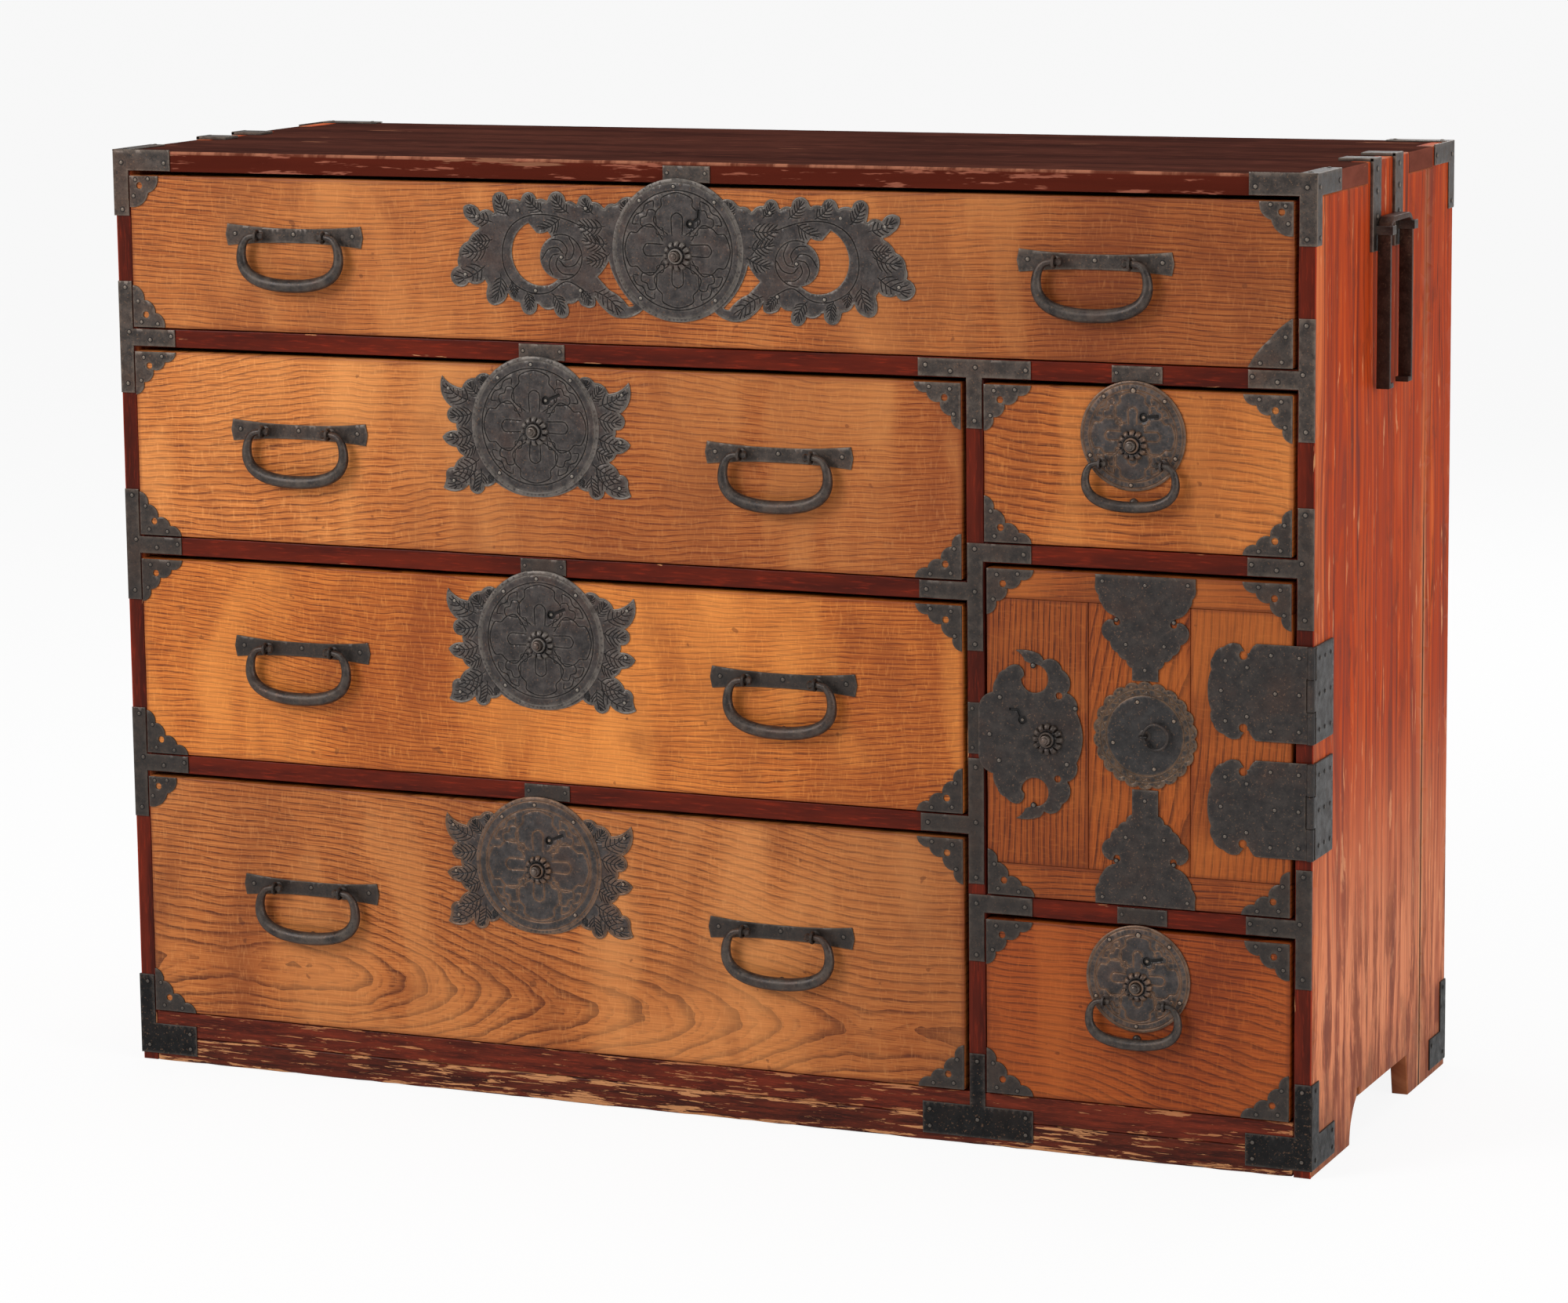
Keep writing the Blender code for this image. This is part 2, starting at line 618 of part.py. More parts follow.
def carrying_straps(side):
    """Two straps hooked over the top edge, each with the guide that holds one leg of the loop."""
    made = []
    outline = [
        (HALF_W + STRAP_T, STRAP_BOTTOM), (HALF_W - SINK, STRAP_BOTTOM), (HALF_W - SINK, CASE_H + FIT),
        (HALF_W - STRAP_INWARD, CASE_H + FIT), (HALF_W - STRAP_INWARD, CASE_H + STRAP_T),
        (HALF_W + STRAP_T, CASE_H + STRAP_T),
    ]
    hole_far = LOOP_X + LOOP_DEPTH + GUIDE_ROOM
    hole_half = LOOP_LEG_T / 2 + GUIDE_ROOM
    for leg_y in LOOP_LEG_Y:
        strap = [(side * x, z) for x, z in outline]
        made.append(flat("strap", [strap], "Y", leg_y - STRAP_W / 2, leg_y + STRAP_W / 2))
        rim = rectangle(
            *sided(side, HALF_W + STRAP_T / 2, hole_far + GUIDE_T),
            leg_y - hole_half - GUIDE_T, leg_y + hole_half + GUIDE_T,
        )
        hole = rectangle(
            *sided(side, HALF_W + STRAP_T + FIT, hole_far), leg_y - hole_half, leg_y + hole_half
        )
        made.append(flat("guide", [rim, hole], "Z", GUIDE_Z, GUIDE_Z + GUIDE_H))
    return made


def side_panel(name, side, rails):
    panel = node(
        name, flat(name, [side_outline()], "X", *sided(side, INSIDE_X, HALF_W)), "side_wood", case
    )
    combine(panel, "UNION", corner_irons(side) + side_t_irons(side, rails) + carrying_straps(side))


def top_board():
    """The top, with fingers at both ends between those of the sides."""
    first, second, third = FINGER_CUTS
    inner = INSIDE_X - FIT
    board = node(
        "top_board", block("top_board", (-HALF_W, FRONT, INSIDE_TOP), (HALF_W, BACK, CASE_H)), "top_wood", case
    )
    slots = []
    for side in (-1, 1):
        left, right = sided(side, inner, HALF_W + SIDE_T)
        for start, end in ((first - FIT, second + FIT), (third - FIT, BACK + SIDE_T)):
            slots.append(block("finger_slot", (left, start, INSIDE_TOP - TOP_T), (right, end, CASE_H + TOP_T)))
    combine(board, "DIFFERENCE", slots)
    low = INSIDE_TOP + EDGE
    combine(board, "UNION", [strike("strike_top", STRIKE_X["top"], low, low + STRIKE_H, STRIKE_W / 2)])


def rail_board(name, left, right, strikes):
    low = RAIL_Z[name]
    board = node(
        f"rail_board_{name}",
        block(name, (left + FIT, FRONT, low), (right - FIT, INSIDE_BACK - FIT, low + RAIL_T)),
        "frame_wood", case,
    )
    middle = rail_middle(name)
    made = [
        strike(f"strike_{lock}", STRIKE_X[lock], middle - STRIKE_H / 2, middle + STRIKE_H / 2, STRIKE_W / 2)
        for lock in strikes
    ]
    if name == "top":
        bar = (STILE_X - IRON_LEG_HALF, STILE_X + IRON_LEG_HALF)
        rows = (middle - IRON_ARM_H / 2, middle + IRON_ARM_H / 2)
        made.append(front_bar("centre_bar", *bar, *rows))
        made.append(front_bar(
            "centre_stem", STILE_X - IRON_LEG_W / 2, STILE_X + IRON_LEG_W / 2,
            middle - IRON_LEG_HALF, middle,
        ))
        made.append(front_pad("centre_pad", *bar, *rows))
    if made:
        combine(board, "UNION", made)


def centre_stile():
    """The partition, with the cross irons where rails meet it and the strike plate of the door lock."""
    stile = node(
        "centre_stile",
        block(
            "centre_stile",
            (STILE_LEFT, FRONT, INSIDE_FLOOR + FIT),
            (STILE_RIGHT, INSIDE_BACK - FIT, RAIL_Z["top"] - FIT),
        ),
        "frame_wood", case,
    )
    leg = (STILE_X - IRON_LEG_W / 2, STILE_X + IRON_LEG_W / 2)
    made = []
    for rails in (("left_upper", "right_upper"), ("left_lower",), ("right_lower",)):
        middles = [rail_middle(rail) for rail in rails]
        high = max(middles) + IRON_LEG_HALF * (rails[0] == "left_lower") + IRON_ARM_H / 2
        legs = (min(middles) - IRON_LEG_HALF, high)
        made.append(front_bar(f"cross_leg_{rails[0]}", *leg, *legs))
        made.append(front_pad(f"cross_pad_{rails[0]}", *leg, *legs))
        for rail, middle in zip(rails, middles):
            side = -1 if rail.startswith("left") else 1
            reach = sorted((STILE_X, STILE_X + side * IRON_LEG_HALF))
            made.append(front_bar(
                f"cross_arm_{rail}", *reach, middle - IRON_ARM_H / 2, middle + IRON_ARM_H / 2
            ))
    made.append(strike(
        "strike_door", STILE_X, DOOR_STRIKE_Z - STRIKE_W / 2, DOOR_STRIKE_Z + STRIKE_W / 2, STRIKE_H / 2
    ))
    combine(stile, "UNION", made)


def base_boards():
    """Bottom board, base rail below its front edge, and the back panel."""
    inner = INSIDE_X - FIT
    bottom = node(
        "bottom_board",
        block("bottom_board", (-inner, FRONT, BASE_H), (inner, INSIDE_BACK - FIT, INSIDE_FLOOR)),
        "frame_wood", case,
    )
    bar = (STILE_X - IRON_LEG_HALF, STILE_X + IRON_LEG_HALF)
    combine(bottom, "UNION", [
        front_bar("base_bar", *bar, BASE_IRON_BOTTOM, BASE_IRON_TOP),
        front_bar(
            "base_stem", STILE_X - IRON_LEG_W / 2, STILE_X + IRON_LEG_W / 2, BASE_IRON_BOTTOM, BASE_LEG_TOP
        ),
        front_pad("base_pad", *bar, BASE_H, BASE_IRON_TOP),
    ])
    node(
        "base_rail",
        block("base_rail", (-inner, FRONT, 0), (inner, FRONT + BASE_T, BASE_H - FIT)),
        "base_wood", case,
    )
    node(
        "back_panel",
        block("back_panel", (-inner, INSIDE_BACK, BASE_H), (inner, BACK, INSIDE_TOP - FIT)),
        "inner_wood", case,
    )


def opening_of(name):
    """Left, right, bottom and top of the opening that a drawer or the door fills."""
    rail_top = {rail: low + RAIL_T for rail, low in RAIL_Z.items()}
    return {
        "top": (-INSIDE_X, INSIDE_X, rail_top["top"], INSIDE_TOP),
        "left_upper": (-INSIDE_X, STILE_LEFT, rail_top["left_upper"], RAIL_Z["top"]),
        "left_middle": (-INSIDE_X, STILE_LEFT, rail_top["left_lower"], RAIL_Z["left_upper"]),
        "left_lower": (-INSIDE_X, STILE_LEFT, INSIDE_FLOOR, RAIL_Z["left_lower"]),
        "right_upper": (STILE_RIGHT, INSIDE_X, rail_top["right_upper"], RAIL_Z["top"]),
        "right_lower": (STILE_RIGHT, INSIDE_X, INSIDE_FLOOR, RAIL_Z["right_lower"]),
        "door": (STILE_RIGHT, INSIDE_X, rail_top["right_lower"], RAIL_Z["right_upper"]),
    }[name]


def front_of(name):
    """Left, right, bottom and top of a drawer front or the door, inside its opening."""
    left, right, low, high = opening_of(name)
    gap_left = DOOR_GAP_LEFT if name == "door" else GAP_LEFT
    return left + gap_left, right - GAP_RIGHT, low + GAP_BOTTOM, high - GAP_TOP


def corners_of(name):
    """The four corner irons of a front, let into its face."""
    left, right, low, high = front_of(name)
    places = ((left, low, 1, 1), (right, low, -1, 1), (left, high, 1, -1), (right, high, -1, -1))
    made = []
    for style, (x, z, turn_x, turn_z) in zip(CORNERS[name], places):
        size, rows = CORNER_IRONS[style]
        outline = flipped([(0, 0)] + arc_path(rows, size), turn_x, turn_z)
        outline = moved(outline, x + turn_x * EDGE, z + turn_z * EDGE)
        made.append(flat("corner_iron", [outline], "Y", FACE - IRON_T, FACE + SINK))
    return made


def bore_for(lock):
    x, z, drop = LOCKS[lock]
    return cylinder(
        "button_bore", BUTTON_BORE_R, "Y", (x, z - drop), FACE - IRON_T, FACE + BUTTON_BORE, BUTTON_SIDES
    )


def bail_eyes(x, z, unit, wall):
    """The two eyes of a bail, each a ring on a short neck that enters the plate behind."""
    made = []
    for side in (-1, 1):
        middle = x + side * unit * EYE_AT_SHARE
        half = unit * EYE_THICK_SHARE / 2
        rings = [moved(circle(unit * share, EYE_SIDES), PIVOT_Y, z) for share in (EYE_OUTER_SHARE, EYE_INNER_SHARE)]
        made.append(flat("eye", rings, "X", middle - half, middle + half))
        neck = unit * EYE_NECK_SHARE
        ring_middle = PIVOT_Y + unit * (EYE_OUTER_SHARE + EYE_INNER_SHARE) / 2
        made.append(block(
            "eye_neck", (middle - half * NECK_SHARE, ring_middle, z - neck),
            (middle + half * NECK_SHARE, wall + SINK, z + neck),
        ))
    return made


def stud_below(x, z, unit):
    """The stud that the middle of a hanging bail rests in front of."""
    middle = z + BAIL_SHARES[-1][1] * unit + STUD_UP
    return cylinder("stud", STUD_R, "Y", (x, middle), FACE - STUD_H, FACE + SINK, STUD_SIDES)


def bail(name, x, z, unit, parent):
    half = [(u * unit, v * unit, thick * unit) for u, v, thick in BAIL_SHARES]
    path = half + [(-u, v, thick) for u, v, thick in reversed(half[:-1])]
    axis = axis_at(f"axis_{name}", (x, PIVOT_Y, z), parent)
    place = Matrix.Translation((x, PIVOT_Y, z)) @ PLANES["Y"].to_4x4()
    smooth(node(name, rod(name, path, place), "iron", axis))


def bow_tie(x, z):
    half = [(u * BOW_TIE_HALF, v * BOW_TIE_HALF) for u, v in BOW_TIE_SHARES]
    outline = half + [(u, -v) for u, v in reversed(half)]
    return flat("bow_tie", [moved(outline, x, z)], "Y", FACE - IRON_T, FACE + SINK)


def tray(name, parent):
    """Bottom, two sides and back of a drawer, as one hollow piece behind its front."""
    left, right, _, high = front_of(name)
    low = opening_of(name)[2] + TRAY_LIFT
    left, high = left + TRAY_INSET, high - TRAY_LOWER
    front, back = FACE + FRONT_T + FIT, INSIDE_BACK - TRAY_BACK_GAP
    body = node(f"tray_{name}", block(name, (left, front, low), (right, back, high)), "inner_wood", parent)
    hollow = block(
        "hollow",
        (left + TRAY_SIDE_T, front - TRAY_SIDE_T, low + TRAY_FLOOR_T),
        (right - TRAY_SIDE_T, back - TRAY_SIDE_T, high + TRAY_SIDE_T),
    )
    combine(body, "DIFFERENCE", [hollow])


def lock_outlines(name):
    """Edge and openings of a lock plate, about its own middle."""
    if name == "door":
        half = arc_path(DOOR_PLATE_SHARES, DOOR_PLATE_UNIT)
        return [moved(mirrored(half, 1, -1), DOOR_PLATE_LEFT - LOCKS["door"][0], 0)]
    if name.startswith("right"):
        return [circle(SMALL_LOCK_R, SMALL_LOCK_SIDES)]
    rows = LONG_WING_SHARES if name == "top" else WING_SHARES
    outlines = [mirrored(arc_path(rows, LOCK_R), -1, 1)]
    if name == "top":
        for shares in (CRESCENT_SHARES, SICKLE_SHARES):
            hole = arc_path(shares, LOCK_R)[:-1]
            outlines += [hole, flipped(hole, -1, 1)]
    return outlines


def lock(name, parent):
    """Lock plate with its chrysanthemum boss, and the push button in it."""
    x, z, drop = LOCKS[name]
    outlines = [moved(outline, x, z) for outline in lock_outlines(name)]
    plate = node(
        f"lock_plate_{name}", flat(name, outlines, "Y", PLATE_FRONT, PLATE_BACK), "iron", parent
    )
    centre = (x, PLATE_FRONT, z - drop)
    profile = [
        (0, ROSETTE_H), (ROSETTE_TOP_R, ROSETTE_H), (ROSETTE_R, ROSETTE_RIM),
        (ROSETTE_R, -PLATE_T / 2), (0, -PLATE_T / 2),
    ]
    made = [turned("rosette", profile, "Y", centre, ROSETTE_SIDES)]
    if name in SMALL_BAILS:
        made += bail_eyes(*SMALL_BAILS[name], SMALL_BAIL_HALF, PLATE_FRONT)
    combine(plate, "UNION", made)
    combine(plate, "DIFFERENCE", [cylinder(
        "button_hole", BUTTON_HOLE_R, "Y", (x, z - drop),
        PLATE_FRONT - ROSETTE_H - PLATE_T, PLATE_BACK + PLATE_T, BUTTON_SIDES,
    )])
    profile = [
        (0, BUTTON_OUT), (BUTTON_DOME_R, BUTTON_OUT - BUTTON_DOME / 4), (BUTTON_R, BUTTON_OUT - BUTTON_DOME),
        (BUTTON_R, -BUTTON_IN), (0, -BUTTON_IN),
    ]
    axis = axis_at(f"axis_lock_button_{name}", centre, parent)
    button = turned("button", profile, "Y", centre, BUTTON_SIDES)
    smooth(node(f"lock_button_{name}", button, "button_iron", axis))


def drawer(name):
    """Front with its irons, eyes and studs, then tray, lock and bails, all on one sliding axis."""
    left, right, low, high = front_of(name)
    axis = axis_at(f"axis_drawer_{name}", ((left + right) / 2, FACE, (low + high) / 2), case)
    front = node(
        f"drawer_front_{name}",
        block(name, (left, FACE, low), (right, FACE + FRONT_T, high)), "front_wood", axis,
    )
    made = corners_of(name)
    handles = BAILS.get(name, ())
    for x, z in handles:
        made += [bow_tie(x, z), stud_below(x, z, BAIL_HALF)] + bail_eyes(x, z, BAIL_HALF, FACE - SINK)
    if name in SMALL_BAILS:
        made.append(stud_below(*SMALL_BAILS[name], SMALL_BAIL_HALF))
    combine(front, "UNION", made)
    combine(front, "DIFFERENCE", [bore_for(name)])
    tray(name, axis)
    lock(name, axis)
    for (x, z), which in zip(handles, ("left", "right")):
        bail(f"bail_{name}_{which}", x, z, BAIL_HALF, axis)
    if name in SMALL_BAILS:
        bail(f"bail_{name}", *SMALL_BAILS[name], SMALL_BAIL_HALF, axis)


def door_hinge(name, middle, parent):
    """The door's leaf with two knuckles, and the side's leaf with the middle knuckle and the pin."""
    third = HINGE_HALF / 3
    wall = HINGE_X - (HINGE_BORE_R + HINGE_KNUCKLE_R) / 2
    clear = HINGE_X - HINGE_KNUCKLE_R - GUIDE_ROOM
    shape = moved(mirrored(arc_path(HINGE_SHARES, HINGE_HALF), 1, -1), wall, 0)
    shape += [
        (wall, -HINGE_HALF), (wall, -third - FIT), (clear, -third - FIT), (clear, third + FIT),
        (wall, third + FIT), (wall, HINGE_HALF),
    ]
    leaf = node(
        f"door_hinge_{name}", flat(name, [moved(shape, 0, middle)], "Y", PLATE_FRONT, PLATE_BACK), "iron", parent
    )
    rings = [moved(circle(r, HINGE_SIDES), HINGE_X, HINGE_Y) for r in (HINGE_KNUCKLE_R, HINGE_BORE_R)]
    combine(leaf, "UNION", [
        flat("knuckle", rings, "Z", middle + low, middle + high)
        for low, high in ((-HINGE_HALF, -third - FIT / 2), (third + FIT / 2, HINGE_HALF))
    ])
    edge = FRONT + FIT
    middle_half = third - FIT / 2
    tongue = middle_half - EDGE
    shape = [
        (edge, -HINGE_HALF), (HINGE_LEAF_END, -HINGE_HALF), (HINGE_LEAF_END, HINGE_HALF), (edge, HINGE_HALF),
        (edge, tongue), (HINGE_Y + FIT, tongue), (HINGE_Y + FIT, -tongue), (edge, -tongue),
    ]
    side_leaf = node(
        f"side_hinge_{name}",
        flat(name, [moved(shape, 0, middle)], "X", HALF_W + FIT, HALF_W + FIT + HINGE_LEAF_T), "iron", case,
    )
    place = (HINGE_X, HINGE_Y)
    combine(side_leaf, "UNION", [
        cylinder("knuckle", HINGE_KNUCKLE_R, "Z", place, middle - middle_half, middle + middle_half, HINGE_SIDES),
        cylinder("pin", HINGE_PIN_R, "Z", place, middle - HINGE_HALF, middle + HINGE_HALF, HINGE_SIDES),
    ])


def ornament(name, edge_z, turn, parent):
    """The pendant plate at the top or bottom edge of the door, whose stem reaches the ring plate."""
    stem = abs(edge_z - RING_PLATE_Z) - RING_PLATE_R - FIT
    half = arc_path(ORNAMENT_SHARES, ORNAMENT_HALF)
    half.append(Vector((half[-1].x, -stem)))
    outline = moved(flipped(mirrored(half, -1, 1), 1, turn), DOOR_MIDDLE_X, edge_z)
    node(f"door_ornament_{name}", flat(name, [outline], "Y", PLATE_FRONT, PLATE_BACK), "iron", parent)


def ring_pull(parent):
    """Scalloped plate with a split-pin eye, and the ring that swings in it."""
    base = RING_PLATE_R * RING_PLATE_SHARE
    turns = [math.tau * i / RING_PLATE_LOBES for i in range(RING_PLATE_LOBES + 1)]
    rows = [(math.cos(turn), math.sin(turn), RING_PLATE_SWELL_SHARE) for turn in turns]
    outline = moved(arc_path(rows, base)[:-1], DOOR_MIDDLE_X, RING_PLATE_Z)
    plate = node("ring_plate", flat("ring_plate", [outline], "Y", PLATE_FRONT, PLATE_BACK), "iron", parent)
    eye_y = PLATE_FRONT - RING_OUT
    rings = [moved(circle(r, EYE_SIDES), DOOR_MIDDLE_X, eye_y) for r in (RING_EYE_OUTER, RING_EYE_INNER)]
    half = RING_EYE_H / 2
    neck = RING_WIRE
    combine(plate, "UNION", [
        flat("ring_eye", rings, "Z", RING_PLATE_Z - half, RING_PLATE_Z + half),
        block(
            "ring_neck",
            (DOOR_MIDDLE_X - neck, eye_y + (RING_EYE_OUTER + RING_EYE_INNER) / 2, RING_PLATE_Z - half * NECK_SHARE),
            (DOOR_MIDDLE_X + neck, PLATE_FRONT + PLATE_T / 2, RING_PLATE_Z + half * NECK_SHARE),
        ),
    ])
    axis = axis_at("axis_ring_pull", (DOOR_MIDDLE_X, eye_y, RING_PLATE_Z), parent)
    bpy.ops.mesh.primitive_torus_add(
        major_segments=RING_SEGMENTS, minor_segments=RING_SIDES, major_radius=RING_R, minor_radius=RING_WIRE
    )
    draft = bpy.context.active_object
    draft.data.transform(Matrix.Translation((DOOR_MIDDLE_X + RING_R, eye_y, RING_PLATE_Z)) @ PLANES["Y"].to_4x4())
    ring = bpy.data.objects.new("ring_pull", draft.data)
    bpy.data.objects.remove(draft)
    smooth(node("ring_pull", ring, "iron", axis))


def door():
    left, right, low, high = front_of("door")
    axis = axis_at("axis_door", (HINGE_X, HINGE_Y, (low + high) / 2), case)
    panel = node(
        "door_panel", block("door_panel", (left, FACE, low), (right, FACE + FRONT_T, high)), "front_wood", axis
    )
    combine(panel, "UNION", corners_of("door"))
    combine(panel, "DIFFERENCE", [bore_for("door")])
    lock("door", axis)
    ornament("top", high - EDGE, 1, axis)
    ornament("bottom", low + EDGE, -1, axis)
    ring_pull(axis)
    for name, middle in zip(("lower", "upper"), HINGE_Z):
        door_hinge(name, middle, axis)


def carrying_loop(name, side):
    """The sliding loop for the carrying pole: an inverted U of flat bar with its feet turned inwards."""
    left, right = LOOP_LEG_Y[0] - LOOP_LEG_T / 2, LOOP_LEG_Y[1] + LOOP_LEG_T / 2
    low, high, thick, corner = LOOP_BOTTOM, LOOP_TOP, LOOP_LEG_T, LOOP_CORNER_R
    foot = thick + LOOP_FOOT
    foot_top = low + LOOP_FOOT_T
    bend = QUARTER_SWELL_SHARE
    rows = (
        (left, low, 0), (left + foot, low, 0), (left + foot, foot_top, 0), (left + thick, foot_top, 0),
        (left + thick, high - corner, -bend), (left + corner, high - thick, 0),
        (right - corner, high - thick, -bend), (right - thick, high - corner, 0),
        (right - thick, foot_top, 0), (right - foot, foot_top, 0), (right - foot, low, 0), (right, low, 0),
        (right, high - corner, bend), (right - corner, high, 0), (left + corner, high, bend),
        (left, high - corner, 0),
    )
    reach = sided(side, LOOP_X, LOOP_X + LOOP_DEPTH)
    axis = axis_at(f"axis_{name}", (side * LOOP_X, (left + right) / 2, low), case)
    node(name, flat(name, [arc_path(rows, 1)], "X", *reach), "iron", axis)


for old in list(bpy.data.objects):
    bpy.data.objects.remove(old)
parts = bpy.data.collections.new("tansu_chest")
cutters = bpy.data.collections.new("tansu_chest_cutters")
for group in (parts, cutters):
    bpy.context.scene.collection.children.link(group)
case = bpy.data.objects.new("tansu_chest_frame", None)
case.location = (0, CASE_Y, 0)
parts.objects.link(case)
bpy.context.view_layer.update()

side_panel("side_panel_left", -1, ("top", "left_upper", "left_lower"))
side_panel("side_panel_right", 1, ("top", "right_upper", "right_lower"))
top_board()
base_boards()
rail_board("top", -INSIDE_X, INSIDE_X, ("left_upper", "right_upper"))
rail_board("left_upper", -INSIDE_X, STILE_LEFT, ("left_middle",))
rail_board("left_lower", -INSIDE_X, STILE_LEFT, ("left_lower",))
rail_board("right_upper", STILE_RIGHT, INSIDE_X, ())
rail_board("right_lower", STILE_RIGHT, INSIDE_X, ("right_lower",))
centre_stile()
for drawer_name in ("top", "left_upper", "left_middle", "left_lower", "right_upper", "right_lower"):
    drawer(drawer_name)
door()
carrying_loop("carrying_loop_left", -1)
carrying_loop("carrying_loop_right", 1)
cutters.hide_render = True
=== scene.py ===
"""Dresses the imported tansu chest: worn boards, engraved irons with nails, smooth bails, light and camera."""

import math

import bmesh
import bpy
import numpy as np
from mathutils import Matrix, Vector, geometry, kdtree, noise


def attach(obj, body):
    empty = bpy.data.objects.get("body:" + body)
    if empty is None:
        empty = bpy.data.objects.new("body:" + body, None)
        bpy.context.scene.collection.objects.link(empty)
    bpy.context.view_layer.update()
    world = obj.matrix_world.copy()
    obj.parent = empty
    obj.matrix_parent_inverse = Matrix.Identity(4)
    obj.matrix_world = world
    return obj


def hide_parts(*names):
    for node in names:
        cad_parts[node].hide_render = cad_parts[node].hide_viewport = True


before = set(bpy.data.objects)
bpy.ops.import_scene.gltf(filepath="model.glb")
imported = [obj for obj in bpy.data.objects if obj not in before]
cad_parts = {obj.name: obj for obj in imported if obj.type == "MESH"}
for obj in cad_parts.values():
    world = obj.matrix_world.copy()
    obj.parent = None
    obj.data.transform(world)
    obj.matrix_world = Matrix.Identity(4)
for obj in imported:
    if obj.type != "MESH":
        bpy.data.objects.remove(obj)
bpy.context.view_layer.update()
# Without a seed of its own, noise_vector changes with the clock.
noise.seed_set(1)

MM = 0.001
DEG = math.pi / 180

# Places in metres that the materials follow: the top board's front edge, its arris, the case's ends, lightened
# with painted light, a side's seam, and the outer walls, where the irons are darkened with painted shade.
TOP_FRONT_Y = (-0.2058, -0.2065)
ARRIS_Y = (-0.2038, -0.2052)
ARRIS_Z = (0.8916, 0.8932)
END_X = (0.5985, 0.5995)
SEAM_Y = 0.1378
SHADED_WALL_X = (0.6, 0.6012)

# The case and its boards, with the same values as the solids. Outlines below are in millimetres.
CASE_Y = 9.1625
HALF_W = 600
CASE_H = 895
FRONT = -216
BACK = 216
SIDE_T = 16
INSIDE_X = HALF_W - SIDE_T
INSIDE_TOP = 876
BACK_T = 11
SIDE_FRONT = -214.4
SIDE_TOP = 875.7
BASE_H = 25
BASE_T = 22
INSIDE_FLOOR = 50
RAIL_T = 18
RAIL_Z = {"top": 707, "left_upper": 505, "left_lower": 290, "right_upper": 541, "right_lower": 218}
STILE_X = 282.5
STILE_LEFT = 274
STILE_RIGHT = 291
FINGER_CUTS = (-62, 68, 146)
FIT = 0.3
FACE = FRONT - 2
FRONT_T = 20
IRON_T = 1.5
IRON_REACH = 54
IRON_LEG_W = 15
IRON_ARM_H = 16.4
IRON_NEAR_X = 585
IRON_FAR_X = 539
IRON_LOW = 833
IRON_ARM_LOW = 876.4
WRAP_EDGE = -146
REAR_EDGE = 215.6
REAR_INNER = 198
NAIL_ROW_X = 592
NAIL_ROW_Z = 884
FOOT_LOW = 7
FOOT_ARM = 37
FOOT_TOP = 86
STRAP_T = 3
STRAP_W = 25
STRAP_Y = (-42.5, 27)
STRAP_FOOT = 814
STRAP_END_X = 570
GUIDE_Z = (829, 837)
LOOP_T = 12.4
LOOP_X = HALF_W + STRAP_T + FIT + 0.5
PLATE_FRONT = FACE - FIT - IRON_T
PLATE_BACK = FACE - FIT

# Bails, in shares of half their outer width.
PIVOT_Y = FACE - 10
BAIL_HALF = 57.5
SMALL_BAIL_HALF = 46.5
BAIL_SHARES = (
    (0.487, 0, 0.042), (0.529, 0, 0.07), (0.572, 0, 0.047), (0.665, 0, 0.049), (0.79, -0.035, 0.056),
    (0.875, -0.15, 0.068), (0.908, -0.33, 0.08), (0.875, -0.5, 0.09), (0.76, -0.645, 0.099),
    (0.56, -0.745, 0.105), (0.29, -0.8, 0.108), (0, -0.815, 0.109),
)
EYE_AT_SHARE = 0.617
BOW_TIE_HALF = 72.5
BOW_TIE_ROWS = (
    (-1.015, 0, 0), (-0.985, 0.143, 0), (-0.78, 0.123, 0), (-0.57, 0.107, 0), (-0.3, 0.096, 0), (0, 0.093, 0),
    (0.3, 0.096, 0), (0.57, 0.107, 0), (0.78, 0.123, 0), (0.985, 0.143, 0), (1.015, 0, 0),
)
BAILS = {
    "top": ((-405, 818), (398, 814.5)),
    "left_upper": ((-405, 631), (92, 630)),
    "left_middle": ((-408, 421), (94, 421)),
    "left_lower": ((-405, 186.5), (89, 184)),
}
SMALL_BAILS = {"right_upper": (434, 637), "right_lower": (437, 149)}

# Lock plates: middle and drop of the rosette, then the key ring and where its slot runs.
LOCK_R = 66
SMALL_LOCK_R = 49.5
PLATE_NAIL_SHARE = 0.885
WING_T = 1.0
KEY_ROOM = 5.5
DOOR_PLATE_SIZE = 100
DOOR_PLATE_X = 286
GILT = ("left_lower", "right_upper", "right_lower")
LOCKS = {
    "top": (-6, 814.5, 5), "left_upper": (-154.5, 646.3, 4), "left_middle": (-153, 444.7, 4),
    "left_lower": (-159.5, 228.5, 4), "right_upper": (433.5, 661.5, 8), "right_lower": (438.5, 170, 7),
    "door": (353, 386.5, 2.5),
}
KEYHOLES = {
    "top": ((13, 24.5), (21, 29.5), (22, 37.5)), "left_upper": ((11.5, 25), (26, 31)),
    "left_middle": ((11.5, 25), (26, 31)), "left_lower": ((11.5, 25), (26, 31)),
    "right_upper": ((10, 17), (24, 18.5)), "right_lower": ((8.5, 17), (23.5, 20)),
    "door": ((-24.5, 13.5), (-29, 22.5), (-37, 22.5)),
}
STRIKE_X = {
    "top": 2.5, "left_upper": -147.5, "left_middle": -150, "left_lower": -150.5, "right_upper": 436.5,
    "right_lower": 441.5,
}
DOOR_MIDDLE_X = 445
DOOR_SEAMS_X = (391, 487)
DOOR_ENDS_Z = (267, 510)
SEAM = 0.15
ORNAMENT_SIZE = 47
RING_PLATE_Z = 393
RING_PLATE_R = 49
RING_EYE_R = 3.25
RING_R = 11.5
HINGE_Z = (334, 438.5)
